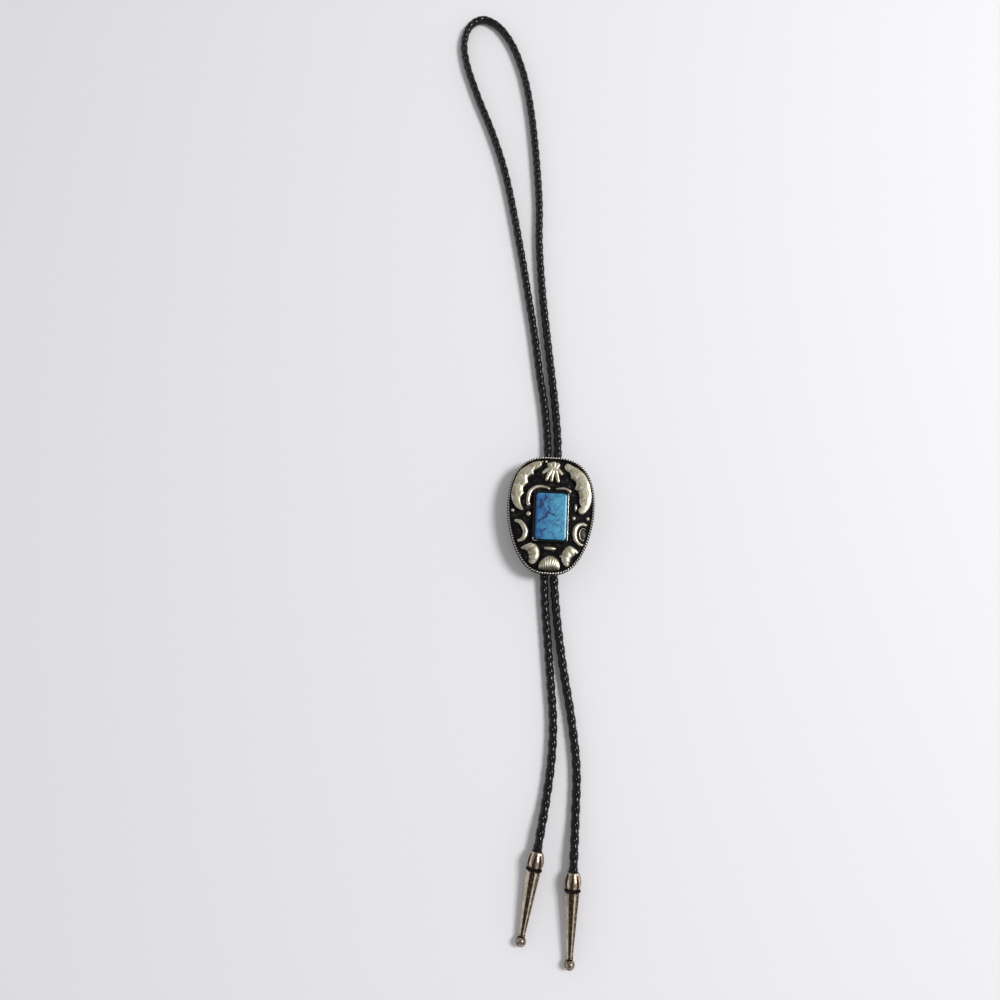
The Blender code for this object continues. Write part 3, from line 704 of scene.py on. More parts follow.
@dataclass
class Studio:
    """The camera, the lights and the floor."""

    camera_place: tuple[float, float, float] = (-0.02093, -0.08494, 0.390)
    camera_turn: tuple[float, float, float] = (math.radians(13.5), 0.0, math.radians(3.0))
    lens: float = 28.0
    sensor: float = 36.0
    key_place: tuple[float, float, float] = (1.25, 0.27, 1.55)
    key_size: float = 0.60
    key_power: float = 31.0
    low_light: float = 1.00
    high_light: float = 0.32
    room: Colour = (0.985, 0.985, 0.985)
    floor_size: float = 4.0
    cloth: Colour = (0.78, 0.77, 0.79)

    def build(self) -> None:
        """Set up the whole studio."""
        bpy.context.scene.view_settings.view_transform = "Standard"
        self.place_camera()
        self.place_key()
        self.light_world()
        self.lay_floor()

    def place_camera(self) -> None:
        """Put the camera where the photograph was taken from."""
        data = bpy.data.cameras.new("camera")
        data.lens = self.lens
        data.sensor_width = self.sensor
        data.clip_start = 0.01
        camera = show("camera", data)
        camera.location = self.camera_place
        camera.rotation_euler = self.camera_turn
        bpy.context.scene.camera = camera

    def place_key(self) -> None:
        """Hang the soft key light on the right, turned to the slide."""
        data = bpy.data.lights.new("key", "AREA")
        data.size = self.key_size
        data.energy = self.key_power
        light = show("key", data)
        light.location = self.key_place
        light.rotation_mode = "QUATERNION"
        light.rotation_quaternion = Vector(self.key_place).to_track_quat("Z", "Y")

    def light_world(self) -> None:
        """Fill the room with soft light that is brightest low down and dim overhead."""
        world = bpy.data.worlds.new("room")
        world.use_nodes = True
        bench = NodeBench(world.node_tree)
        split = bench.add("SeparateXYZ", {"Vector": bench.add("TexCoord").outputs["Generated"]})
        height = bench.span(split.outputs["Z"], 0.15, 0.80, self.low_light, self.high_light)
        bench.fill(world.node_tree.nodes["Background"], {"Color": self.room, "Strength": height})
        bpy.context.scene.world = world

    def cloth_look(self, bench: NodeBench) -> dict[str, object]:
        """The floor's pale cloth, a little mottled."""
        mottled = bench.span(bench.noise(900.0), 0.3, 0.7, 0.95, 1.0)
        return {
            "Base Color": bench.blend(mottled, tuple(0.9 * part for part in self.cloth), self.cloth),
            "Roughness": 0.9,
            "Normal": bench.bump(bench.noise(1400.0), 0.15, 0.4),
        }

    def lay_floor(self) -> None:
        """Lay the pale floor that the tie rests on."""
        form = bmesh.new()
        bmesh.ops.create_grid(form, x_segments=2, y_segments=2, size=self.floor_size / 2.0)
        floor = show("floor", mesh_of(form, "floor"))
        floor.data.materials.append(new_material("pale_cloth", self.cloth_look))


@dataclass
class TipSeat:
    """Where a tip lies: its mouth, how far it leans from straight down, and how far it has rolled."""

    node: str
    mouth_x: float
    mouth_y: float
    lean: float
    roll: float


@dataclass
class TipForm:
    """A tip's sizes, and where its axis lies when it rests on its bud and its ball.

    The bud's outline gives shares of its length and of its bulge. The shoulder and the collar give
    millimetres down, and shares of the radius at the taper's top and end.
    """

    length: float = 41.2 * MM
    socket_radius: float = 2.5 * MM
    socket_depth: float = 6.0 * MM
    cord_gap: float = 0.4 * MM
    lip: float = 0.3 * MM
    bulge: float = 1.2 * MM
    bud_length: float = 7.2 * MM
    bud_belly: float = 0.62
    bud_outline: Rows = (
        (0.02, 0.03), (0.07, 0.18), (0.14, 0.34), (0.32, 0.70), (0.48, 0.93), (0.62, 1.00), (0.78, 0.90),
        (0.92, 0.58), (0.98, 0.34),
    )
    ring_length: float = 1.3 * MM
    ring_radius: float = 3.2 * MM
    ring_pitch: float = 2.5 * MM
    ring_points: int = 240
    taper_top: float = 3.4 * MM
    taper_end: float = 1.5 * MM
    taper_steps: int = 12
    shoulder: Rows = ((0.05, 0.95), (0.25, 1.0))
    collar: Rows = ((0.0, 1.0), (0.15, 0.86), (0.30, 1.10), (0.60, 1.10), (0.72, 0.62))
    collar_length: float = 0.9 * MM
    ball_radius: float = 2.4 * MM
    ball_steps: int = 20
    petals: int = 8
    petal_groove: float = 0.22
    petal_roundness: float = 2.4
    # The angle of the facet on top that is painted dark, a painted reflection of the dim room overhead.
    painted_dark_facet: float = math.radians(67.5)
    steps: int = 120
    crease: float = math.radians(30.0)

    @property
    def bud_radius(self) -> float:
        """The radius of the bud where it is widest."""
        return self.socket_radius + self.lip + self.bulge

    def axis(self, seat: TipSeat) -> tuple[Vector, Vector]:
        """Where the mouth's middle is, and the way from it to the ball."""
        belly = self.bud_length * self.bud_belly
        slope = math.asin((self.bud_radius - self.ball_radius) / (self.length - self.ball_radius - belly))
        height = self.bud_radius / math.cos(slope) + belly * math.sin(slope)
        lean = math.radians(seat.lean)
        level = math.cos(slope)
        down = Vector((-math.sin(lean) * level, -math.cos(lean) * level, -math.sin(slope)))
        return Vector((seat.mouth_x, seat.mouth_y, height)), down

    def placing(self, seat: TipSeat) -> Matrix:
        """The move from the tip's own frame, mouth up at the origin, to where it lies."""
        mouth, down = self.axis(seat)
        turned = (-down).to_track_quat("Z", "Y").to_matrix().to_4x4()
        return Matrix.Translation(mouth) @ turned @ Matrix.Rotation(math.radians(seat.roll), 4, "Z")

    def section(self) -> list[tuple[float, float]]:
        """Points down the section: the distance below the mouth and the radius of each.

        Returns:
            The points from the socket's bottom over the mouth to the ball's far end.
        """
        neck = self.socket_radius + self.lip
        outline = [(self.bud_length * down, neck + self.bulge * out) for down, out in self.bud_outline]
        swell = smooth_curve(outline, 4)
        rows = [(self.socket_depth, 0.0), (self.socket_depth, self.socket_radius), (0.0, self.socket_radius)]
        rows += [(float(down), float(radius)) for down, radius in swell]
        step_top = self.bud_length + self.ring_length
        rows += [(self.bud_length, neck), (step_top, neck)]
        rows += [(step_top + down * MM, self.taper_top * share) for down, share in self.shoulder]
        ball_centre = self.length - self.ball_radius
        last_row = self.collar[-1][1]
        neck_angle = math.asin(last_row * self.taper_end / self.ball_radius)
        start = rows[-1][0]
        end = ball_centre - self.ball_radius * math.cos(neck_angle) - self.collar_length
        for step in range(1, self.taper_steps):
            share = step / self.taper_steps
            radius = self.taper_top + (self.taper_end - self.taper_top) * share
            rows.append((start + (end - start) * share, radius))
        rows += [(end + down * MM, self.taper_end * share) for down, share in self.collar]
        for step in range(self.ball_steps):
            angle = neck_angle + (math.pi - neck_angle) * step / self.ball_steps
            down = ball_centre - self.ball_radius * math.cos(angle)
            rows.append((down, self.ball_radius * math.sin(angle)))
        return [*rows, (self.length, 0.0)]

    def facet_wear_and_painted_shade(self, turn: float) -> float:
        """How bright the taper is at an angle: rubbed bright, with a painted dark reflection of the dim room
        overhead on the facet on top, and painted shade past that facet's right edge.
        """
        side = ((turn - self.painted_dark_facet + math.pi) % FULL_TURN - math.pi) * self.petals / math.pi
        # Painted dark reflection on the facet on top, and painted shade past its right edge.
        dull = 1.0 - ease(abs(side), 0.86, 1.02)
        right_shade = 0.54 * ease(side, 1.5, 1.95)
        return (0.86 - right_shade) * (1.0 - dull) + 0.27 * dull

    def shape_point(self, radius: float, down: float, turn: float) -> tuple[float, float]:
        """Press one point of the turned section into its petal or flat.

        Args:
            radius: how far it is from the axis.
            down: how far below the mouth it is.
            turn: its angle round the axis.

        Returns:
            The factor for its radius, and its wear, which also holds painted shade on the bud's lower end and
            on the taper's facets.
        """
        step_top = self.bud_length + self.ring_length
        taper_stop = self.length - 2.0 * self.ball_radius - 0.3 * MM
        width = FULL_TURN / self.petals
        off_middle = abs(((turn + width / 2.0) % width) / width - 0.5) * 2.0
        factor = 1.0
        worn = 0.75
        if radius > self.socket_radius * 1.05 and down < self.bud_length:
            share = min(1.0, max(0.0, down / self.bud_length))
            press = math.sin(math.pi * share**0.8)
            hollow = 1.0 - math.sqrt(max(0.0, 1.0 - off_middle**self.petal_roundness))
            factor = 1.0 - self.petal_groove * press * hollow
            # Darker in the grooves between the petals, and painted shade darkens the bud's lower end towards
            # the ring.
            worn = 0.85 - 0.95 * ease(off_middle, 0.34, 0.72) * press - 0.50 * ease(share, 0.62, 1.0)
        elif step_top < down < taper_stop:
            factor = math.cos(width / 2.0) / math.cos(width / 2.0 * (1.0 - off_middle))
            worn = self.facet_wear_and_painted_shade(turn)
        elif down >= taper_stop:
            worn = 0.44 if radius > 0.7 * self.ball_radius else 0.28
        if self.bud_length * 0.97 <= down <= step_top:
            worn = 0.05
        return factor, worn

    def build(self, seat: TipSeat) -> None:
        """Turn the section, press its petals and flats, and lay the tip down with its dark twisted ring.

        Args:
            seat: where this tip lies.
        """
        form = bmesh.new()
        rim = [form.verts.new((radius, 0.0, -down)) for down, radius in self.section()]
        for first, second in zip(rim, rim[1:]):
            form.edges.new((first, second))
        whole = form.verts[:] + form.edges[:]
        bmesh.ops.spin(
            form, geom=whole, cent=(0.0, 0.0, 0.0), axis=UP, angle=FULL_TURN, steps=self.steps, use_merge=True
        )
        bmesh.ops.remove_doubles(form, verts=form.verts, dist=MERGE)
        layer = form.verts.layers.float.new(WEAR)
        for vert in form.verts:
            x, y, z = vert.co
            factor, vert[layer] = self.shape_point(math.hypot(x, y), -z, math.atan2(y, x))
            vert.co = (x * factor, y * factor, z)
        turns = np.linspace(0.0, FULL_TURN, self.ring_points, endpoint=False)
        level = np.full(self.ring_points, -(self.bud_length + self.ring_length / 2.0))
        loop = np.stack([self.ring_radius * np.cos(turns), self.ring_radius * np.sin(turns), level], 1)
        ring = TwistedWire(loop, self.ring_length * 0.95, self.ring_pitch, polish=0.3).form()
        placed = self.placing(seat)
        for part in (form, ring):
            bmesh.ops.transform(part, matrix=placed, verts=part.verts)
        finish_piece(form, seat.node, TIP_METAL, [seat.node], self.crease)
        finish_piece(ring, f"{seat.node}_ring", DARK_WIRE, [seat.node])


@dataclass
class TwistedWire:
    """Two strands twisted together round a closed loop that lies level."""

    loop: np.ndarray
    diameter: float
    pitch: float
    polish: float = 1.0
    rings: int = 16
    sides: int = 10
    spread: float = 0.5
    stride: float = 0.002
    crest: Span = (0.62, 0.96)

    def form(self) -> Form:
        """Make both strands.

        Returns:
            The two strands in one form.
        """
        closed = np.vstack([self.loop, self.loop[:1]])
        reach = reach_of(closed)
        whole = float(reach[-1])
        turns = round(whole / self.pitch)
        offset = self.diameter / 2.0 * self.spread
        radius = self.diameter / 2.0 - offset

        def lay(start: float) -> Mapping:
            def place(along: np.ndarray, across: np.ndarray) -> Surface:
                walked = along * whole
                ahead = read_line(closed, reach, (walked + whole * self.stride) % whole)
                behind = read_line(closed, reach, (walked - whole * self.stride) % whole)
                out = np.cross(units(ahead - behind), UP)
                twist = FULL_TURN * turns * along + start
                turn = FULL_TURN * across
                side = offset * np.cos(twist) + radius * np.cos(turn)
                rise = offset * np.sin(twist) + radius * np.sin(turn)
                spots = read_line(closed, reach, walked) + out * side[:, None] + UP * rise[:, None]
                return Surface(spots, self.polish * ease(rise / (self.diameter / 2.0), *self.crest))

            return place

        strands = [mapped_grid(turns * self.rings, self.sides, lay(start)) for start in (0.0, math.pi)]
        return join_forms(strands)


@dataclass
class BraidedCord:
    """The cord: four laces plaited round a thin core, from one tip, through the clip and back to the other.

    The route gives millimetres: x, y, and how high the cord's underside is above the floor.
    """

    diameter: float = 4.4 * MM
    lay_length: float = 13.4 * MM
    lace_width: float = 4.1 * MM
    lace_thickness: float = 0.80 * MM
    weave_depth: float = 0.30 * MM
    weave_hold: float = 1.6
    core_radius: float = 1.35 * MM
    core_columns: int = 480
    core_sides: int = 8
    samples: int = 24
    sides: int = 10
    crease: float = math.radians(60.0)
    path_points: int = 400
    route: Rows = (
        (1.0, -151.0, 1.8), (3.4, -135.0, 0.2), (5.2, -117.0, 0.0), (5.3, -100.0, 0.0), (3.6, -83.0, 0.0),
        (1.2, -61.5, 0.0), (-1.0, -41.5, 0.1), (-2.4, -16.0, 1.3), (-2.4, 16.0, 1.3), (-2.4, 36.0, 0.1),
        (-4.4, 55.5, 0.0), (-8.5, 79.0, 0.0), (-12.1, 101.0, 0.0), (-16.5, 124.0, 0.0), (-21.2, 148.0, 0.0),
        (-32.6, 198.5, 0.0), (-41.2, 224.5, 0.0), (-52.0, 251.2, 0.0), (-59.8, 274.0, 0.0),
        (-61.8, 288.0, 0.0), (-58.8, 299.6, 0.0), (-51.8, 304.4, 0.0), (-43.4, 301.0, 0.0),
        (-34.9, 290.4, 0.0), (-27.0, 272.0, 0.0), (-20.5, 245.0, 0.0), (-13.0, 185.0, 0.0),
        (-11.6, 155.0, 0.0), (-8.6, 125.0, 0.0), (-5.3, 101.0, 0.0),
        (1.2, 55.5, 0.0), (2.9, 36.0, 0.1), (2.4, 16.0, 1.3), (2.4, -16.0, 1.3), (4.3, -41.5, 0.1),
        (8.7, -71.0, 0.0), (14.1, -98.5, 0.0), (17.2, -121.0, 0.0), (17.3, -142.0, 0.2), (17.0, -157.5, 1.7),
    )

    @property
    def lace_radius(self) -> float:
        """The radius that the laces wander round."""
        return self.diameter / 2.0 - self.weave_depth - self.lace_thickness / 2.0

    def track(self, tips: TipForm, seats: Sequence[TipSeat]) -> Track:
        """The cord's centreline, from inside one tip's socket to inside the other's."""
        ends = []
        for seat in seats:
            mouth, down = tips.axis(seat)
            ends.append(tuple(mouth + down * (tips.socket_depth - tips.cord_gap)))
        middle = [(x * MM, y * MM, lift * MM + self.diameter / 2.0) for x, y, lift in self.route]
        line = Track([ends[0], *middle, ends[1]], 16)
        line.spots[:, 2] = np.maximum(line.spots[:, 2], self.diameter / 2.0)
        line.measure()
        return line

    def around(self, line: Track, walked: np.ndarray, turn: np.ndarray, radius: np.ndarray) -> np.ndarray:
        """Points round the centreline.

        Args:
            line: the centreline.
            walked: how far along it each point is.
            turn: the angle of each point round it, from its right side.
            radius: how far each point is from it.

        Returns:
            One point a row.
        """
        shares = walked / line.length
        way = line.heading(shares)
        right = units(np.cross(way, UP))
        up = np.cross(right, way)
        aside = right * (radius * np.cos(turn))[:, None]
        return line.at(shares) + aside + up * (radius * np.sin(turn))[:, None]

    def lace(self, line: Track, hand: Hand, start: float) -> Form:
        """One lace, which winds one way and goes over and under those that wind the other way.

        Args:
            line: the cord's centreline.
            hand: which way the lace winds.
            start: the angle that it starts from.

        Returns:
            The closed lace.
        """
        lead = math.atan(FULL_TURN * self.lace_radius / self.lay_length)

        def place(along: np.ndarray, across: np.ndarray) -> Surface:
            walked = along * line.length
            swing = np.cos(2.0 * FULL_TURN * walked / self.lay_length)
            weave = np.tanh(self.weave_hold * swing) / math.tanh(self.weave_hold)
            turn = FULL_TURN * across
            aside = self.lace_width / 2.0 * np.cos(turn)
            thick = self.lace_thickness / 2.0 * np.sin(turn)
            radius = self.lace_radius + hand.value * self.weave_depth * weave + thick
            angle = hand.value * FULL_TURN * walked / self.lay_length + start
            angle = angle + aside * math.cos(lead) / self.lace_radius
            slid = np.clip(walked - hand.value * aside * math.sin(lead), 0.0, line.length)
            worn = ease(radius / (self.diameter / 2.0), 0.80, 1.0)
            return Surface(self.around(line, slid, angle, radius), worn)

        form = mapped_grid(round(line.length / self.lay_length * self.samples), self.sides, place)
        close_holes(form)
        return form

    def core(self, line: Track) -> Form:
        """The thin core that shows black between the laces."""

        def place(along: np.ndarray, across: np.ndarray) -> Surface:
            radius = np.full(along.shape, self.core_radius)
            return Surface(self.around(line, along * line.length, FULL_TURN * across, radius), 0.0 * along)

        form = mapped_grid(self.core_columns, self.core_sides, place)
        close_holes(form)
        return form

    def build(self, tips: TipForm, seats: Sequence[TipSeat]) -> None:
        """Args:
            tips: the form of both tips.
            seats: where each tip lies.
        """
        line = self.track(tips, seats)
        laces = [self.lace(line, hand, start) for hand in Hand for start in (0.0, math.pi)]
        plait = join_forms([self.core(line), *laces])
        piece = finish_piece(plait, "braided_cord", LEATHER, ["cord"], self.crease)
        [tuple(spot) for spot in line.at(np.linspace(0.0, 1.0, self.path_points))]


@dataclass
class EggOutline:
    """The slide's outline: an oval that is squarer than an ellipse and wider towards the loop."""

    half_width: float
    half_length: float
    egg_share: float = 0.13
    squareness: float = 0.71
    samples: int = 1440
    least_width: float = 0.4 * MM

    def raw_widths(self, along: np.ndarray) -> np.ndarray:
        """Half the outline's width before it is scaled, at shares of its half length."""
        return (1.0 - along**2) ** (self.squareness / 2.0) * (1.0 + self.egg_share * along)

    def widths(self, along: np.ndarray) -> np.ndarray:
        """Half the outline's width at places along the slide, as shares of its half length."""
        widest = self.raw_widths(np.linspace(-1.0, 1.0, self.samples // 2 + 1)).max()
        return self.raw_widths(np.clip(along, -1.0, 1.0)) / widest * self.half_width

    def points(self, count: int, inset: float) -> np.ndarray:
        """Even points on the outline, moved inwards.

        Args:
            count: how many points.
            inset: how far inwards they are moved.

        Returns:
            The points, counted anticlockwise, at height 0.
        """
        turns = np.linspace(0.0, FULL_TURN, self.samples + 1)
        along = np.sin(turns)
        across = np.sign(np.cos(turns)) * self.widths(along)
        outline = np.stack([across, along * self.half_length], axis=1)[:-1]
        way = units(np.roll(outline, -1, axis=0) - np.roll(outline, 1, axis=0))
        moved = outline + inset * np.stack([-way[:, 1], way[:, 0]], axis=1)
        ring = np.vstack([moved, moved[:1]])
        reach = reach_of(ring)
        even = read_line(ring, reach, np.linspace(0.0, reach[-1], count, endpoint=False))
        return np.column_stack([even, np.zeros(count)])

    def hold_inside(self, spots: np.ndarray, inset: float) -> np.ndarray:
        """Bring points that lie outside the outline back to it, across the slide."""
        held = spots.copy()
        reach = self.half_length - inset
        held[:, 1] = np.clip(held[:, 1], -reach, reach)
        limit = self.widths(held[:, 1] / reach) * (1.0 - inset / self.half_width)
        limit = np.maximum(limit, self.least_width)
        held[:, 0] = np.clip(held[:, 0], -limit, limit)
        return held


@dataclass
class Slide:
    """The slide: its plate, the twisted border, the bezel, the stone and the cast relief."""

    plate_points: int = 288
    border_points: int = 1440
    wire_diameter: float = 1.4 * MM
    wire_pitch: float = 2.7 * MM
    seat_gap: float = 0.3 * MM
    edge_bevel: float = 0.2 * MM
    sharp: float = 1.0
    bezel_wall: float = 0.6 * MM
    bezel_corner: float = 1.3 * MM
    bezel_cell: float = 1.0 * MM
    # How far the painted highlight at the lower left corner of the bezel's rim reaches, across and up.
    glint_corner: Span = (2.6 * MM, 1.6 * MM)
    stone_corner: float = 0.9 * MM
    stone_bevel: float = 1.0 * MM
    stone_dome: float = 0.12 * MM
    stone_cell: float = 0.25 * MM
    relief_foot: float = 0.25 * MM
    nodes: tuple[str, ...] = ("slide_casting",)
    outline: EggOutline = field(init=False)
    base: float = field(init=False)
    flange_top: float = field(init=False)
    field_top: float = field(init=False)
    bezel_top: float = field(init=False)

    def __post_init__(self) -> None:
        """Take the slide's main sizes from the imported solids."""
        wire_low, wire_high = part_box("rope_border")
        casting_low, casting_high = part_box("slide_casting")
        stone_low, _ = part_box("blue_stone")
        self.outline = EggOutline((wire_high[0] - wire_low[0]) / 2.0, (wire_high[1] - wire_low[1]) / 2.0)
        self.base = casting_low[2]
        self.field_top = stone_low[2]
        self.flange_top = self.base + (self.field_top - self.base) / 2.0
        self.bezel_top = casting_high[2]

    def build(self) -> None:
        """Build every piece of the slide."""
        self.build_plate()
        self.build_border()
        self.build_bezel()
        self.build_stone()
        Relief(self).build()

    def build_plate(self) -> None:
        """The plate: a flange under the wire, and the blackened field inside it."""
        form = bmesh.new()
        bmesh.ops.create_circle(form, cap_ends=True, segments=self.plate_points, radius=1.0)
        ring = self.outline.points(self.plate_points, 0.1 * self.wire_diameter)
        around = sorted(form.verts, key=lambda vert: math.atan2(vert.co.y, vert.co.x) % FULL_TURN)
        for vert, spot in zip(around, ring):
            vert.co = (spot[0], spot[1], self.base)
        top = pull_faces(form, form.faces[:], self.flange_top - self.base)
        bmesh.ops.recalc_face_normals(form, faces=form.faces)
        flange = 0.9 * self.wire_diameter + self.seat_gap
        bmesh.ops.inset_region(form, faces=top, thickness=flange, use_even_offset=True)
        pull_faces(form, top, self.field_top - self.flange_top)
        bmesh.ops.delete(form, geom=top, context="FACES_ONLY")
        inner = [edge for edge in form.edges if len(edge.link_faces) == 2]
        bevel(form, [edge for edge in inner if edge.calc_face_angle() > self.sharp], self.edge_bevel, 2)
        set_wear(form, lambda spot: 0.9 if spot.z < self.base + self.edge_bevel else 0.0)
        finish_piece(form, "slide_plate", FIELD_BLACK, self.nodes)

    def build_border(self) -> None:
        """The twisted wire round the edge."""
        loop = self.outline.points(self.border_points, self.wire_diameter / 2.0)
        loop[:, 2] = self.flange_top + self.seat_gap + self.wire_diameter / 2.0
        wire = TwistedWire(loop, self.wire_diameter, self.wire_pitch)
        finish_piece(wire.form(), "twisted_border", DARK_WIRE, ["rope_border"])

    def build_bezel(self) -> None:
        """The box bezel: a block with a pocket for the stone and a rounded rim."""
        low, high = (Vector(corner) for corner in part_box("blue_stone"))
        margin = self.seat_gap + self.bezel_wall
        low = Vector((low.x - margin, low.y - margin, self.flange_top))
        high = Vector((high.x + margin, high.y + margin, self.bezel_top))
        form = cut_block(low, high, self.bezel_corner, 3)
        lid = [face for face in form.faces if face.normal.z > 0.9]
        bmesh.ops.inset_region(form, faces=lid, thickness=self.bezel_wall, use_even_offset=True)
        pull_faces(form, lid, self.field_top - self.seat_gap - self.bezel_top)
        bmesh.ops.delete(form, geom=lid, context="FACES_ONLY")
        on_top = [edge for edge in form.edges if all(abs(vert.co.z - high.z) < MERGE for vert in edge.verts)]
        bevel(form, [edge for edge in on_top if edge.calc_face_angle() > self.sharp], self.edge_bevel, 3)
        slice_up(form, low, high, self.bezel_cell, -2.0, MERGE)
        set_wear(form, lambda spot: self.bezel_rim_glints(spot, low, high))
        finish_piece(form, "bezel", BEZEL_SILVER, self.nodes)

    def bezel_rim_glints(self, spot: Vector, low: Vector, high: Vector) -> float:
        """The bezel's tone at a point: tarnished dark, with painted highlights on its rim on the right and at
        the lower left corner.
        """
        if spot.z < high.z - 0.12 * MM:
            return 0.0
        glint_on_right = spot.x > high.x - self.bezel_wall - 0.1 * MM
        glint_low_left = spot.x < low.x + self.glint_corner[0] and spot.y < low.y + self.glint_corner[1]
        # Painted highlights on the rim, on the right and at the lower left corner.
        return 0.62 if glint_on_right or glint_low_left else 0.05

    def build_stone(self) -> None:
        """The stone: bevel facets round a slightly domed table, cut fine enough to carry its veins and the
        painted shade along its left side.
        """
        low, high = (Vector(corner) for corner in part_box("blue_stone"))
        high.z -= self.stone_dome
        form = cut_block(low, high, self.stone_corner, 1)
        crown = [edge for edge in form.edges if all(vert.co.z > high.z - MERGE for vert in edge.verts)]
        bevel(form, crown, self.stone_bevel, 2, 0.62)
        slice_up(form, low, high, self.stone_cell, 0.2, MERGE / 10.0)
        middle = (low + high) / 2.0
        half = (high - low) / 2.0
        for vert in form.verts:
            if vert.co.z > high.z - 0.8 * self.stone_bevel:
                across = min(1.0, abs(vert.co.x - middle.x) / half.x)
                along = min(1.0, abs(vert.co.y - middle.y) / half.y)
                vert.co.z += self.stone_dome * (1.0 - across**2) * (1.0 - along**2)
        set_wear(form, StoneVeinsAndShade(middle).strength)
        finish_piece(form, "stone", STONE_BLUE, ["blue_stone"], math.radians(25.0))


class VeinRun(NamedTuple):
    """A vein on the stone: its points from the stone's middle in millimetres, its width and its strength."""

    points: Rows
    width: float
    strength: float


@dataclass
class StoneVeinsAndShade:
    """The stone's navy veins and blotches, and the shade along its left side, in millimetres."""

    middle: Vector
    half_width: float = 7.9
    left_shade: float = 0.80
    left_span: Span = (0.35, 1.5)
    edge_span: Span = (0.15, 1.35)
    runs: tuple[VeinRun, ...] = (
        VeinRun(((-3.2, 10.3), (-2.6, 9.3), (-3.3, 8.4)), 0.9, 0.85),
        VeinRun(((-5.4, 7.6), (-4.9, 6.2), (-4.6, 5.4), (-5.9, 4.4)), 1.2, 0.95),
        VeinRun(((-1.0, 7.4), (-1.5, 5.9), (-2.4, 5.2)), 0.35, 0.45),
        VeinRun(((-1.6, 4.9), (-0.9, 3.6), (-1.0, 2.2), (0.3, 1.0), (2.1, 0.4)), 0.62, 0.85),
        VeinRun(
            ((-1.0, 2.0), (-2.3, 0.9), (-2.1, -0.1), (-3.6, -1.0), (-5.0, -2.0), (-6.0, -2.9)), 0.85, 1.0
        ),
        VeinRun(((-4.4, 2.6), (-5.4, 1.5), (-5.9, 0.2)), 0.45, 0.40),
        VeinRun(((-4.7, -8.0), (-3.8, -7.5), (-2.3, -6.5)), 0.75, 0.85),
        VeinRun(((-5.9, -5.5), (-5.2, -6.5), (-4.4, -7.7)), 0.40, 0.50),
        VeinRun(((1.0, 4.5), (2.4, 3.7), (3.2, 2.6), (3.1, 1.2)), 0.30, 0.35),
        VeinRun(((0.4, 10.2), (0.8, 8.9), (0.4, 7.6)), 0.35, 0.40),
        VeinRun(((4.6, 9.9), (4.1, 8.2), (5.0, 6.6)), 0.28, 0.30),
        VeinRun(((2.7, -3.6), (4.1, -4.7), (5.4, -6.6)), 0.30, 0.30),
    )
    tracks: list[Track] = field(init=False)

    def __post_init__(self) -> None:
        """Draw each vein's line."""
        self.tracks = [Track(run.points, 8) for run in self.runs]

    def strength(self, spot: Vector) -> float:
        """How strong the veins and the painted shade along the left side are at a point of the stone, from 0 to
        1.
        """
        here = np.array([(spot.x - self.middle.x) / MM, (spot.y - self.middle.y) / MM])
        wander = 0.16 * math.sin(2.9 * here[0] + 1.7 * here[1])
        wander += 0.12 * math.sin(5.3 * here[1] - 3.1 * here[0])
        from_left = here[0] + self.half_width + 0.9 * wander
        # Painted shade along the stone's left side.
        strongest = self.left_shade * (1.0 - ease(from_left, *self.left_span))
        for run, track in zip(self.runs, self.tracks):
            away = np.min(np.linalg.norm(track.spots - here, axis=1)) + wander * run.width
            near = 1.0 - ease(away / run.width, *self.edge_span)
            strongest = max(strongest, run.strength * near)
        return float(strongest)


@dataclass
class Wing:
    """A feathered wing: its outer and inner lines in millimetres, from the tip at the top to the root."""

    name: str
    outer: Rows
    inner: Rows
    height: float = 2.0 * MM
    fullness: float = 3.4
    feathers: int = 5
    sweep: float = 0.16
    seam_width: float = 0.10
    seam_depth: float = 0.10 * MM
    ridge_share: float = 0.13
    ridge_depth: float = 0.06 * MM
    groove_dark: float = 0.34
    inner_rim_painted_shade: float = 0.22
    columns: int = 200
    rows: int = 40

    def surface(self, relief: "Relief") -> Mapping:
        """The wing's surface: fine long ridges, faint seams swept between its feathers, and painted shade on
        its inner side wall.
        """
        outer = Track(in_metres(self.outer))
        inner = Track(in_metres(self.inner))

        def place(along: np.ndarray, across: np.ndarray) -> Surface:
            across = crowd_edges(across)
            outside = outer.at(along)
            flat = outside + (inner.at(along) - outside) * across[:, None]
            swept = ((along + self.sweep * (1.0 - across)) * self.feathers) % 1.0
            away = np.minimum(swept, 1.0 - swept) / self.seam_width
            seam = np.exp(-(away**2)) * ease(across, 0.35, 0.75)
            ridges = 0.5 + 0.5 * np.cos(FULL_TURN * across / self.ridge_share)
            lines = (1.0 - ridges) * (1.0 - ease(across, 0.60, 0.88)) * ease(across, 0.10, 0.22)
            ends = np.sqrt(ease(along, -0.03, 0.05) * (1.0 - ease(along, 0.96, 1.03)))
            body = dome(across, self.fullness)
            rise = self.height * ends * body - self.seam_depth * seam * ends - self.ridge_depth * lines
            worn = 0.10 + 0.90 * body * ends - self.groove_dark * (seam + lines)
            # Painted shade darkens the inner side wall of the wing.
            return relief.raised(flat, rise, worn - self.inner_rim_painted_shade * ease(across, 0.86, 0.97))

        return place


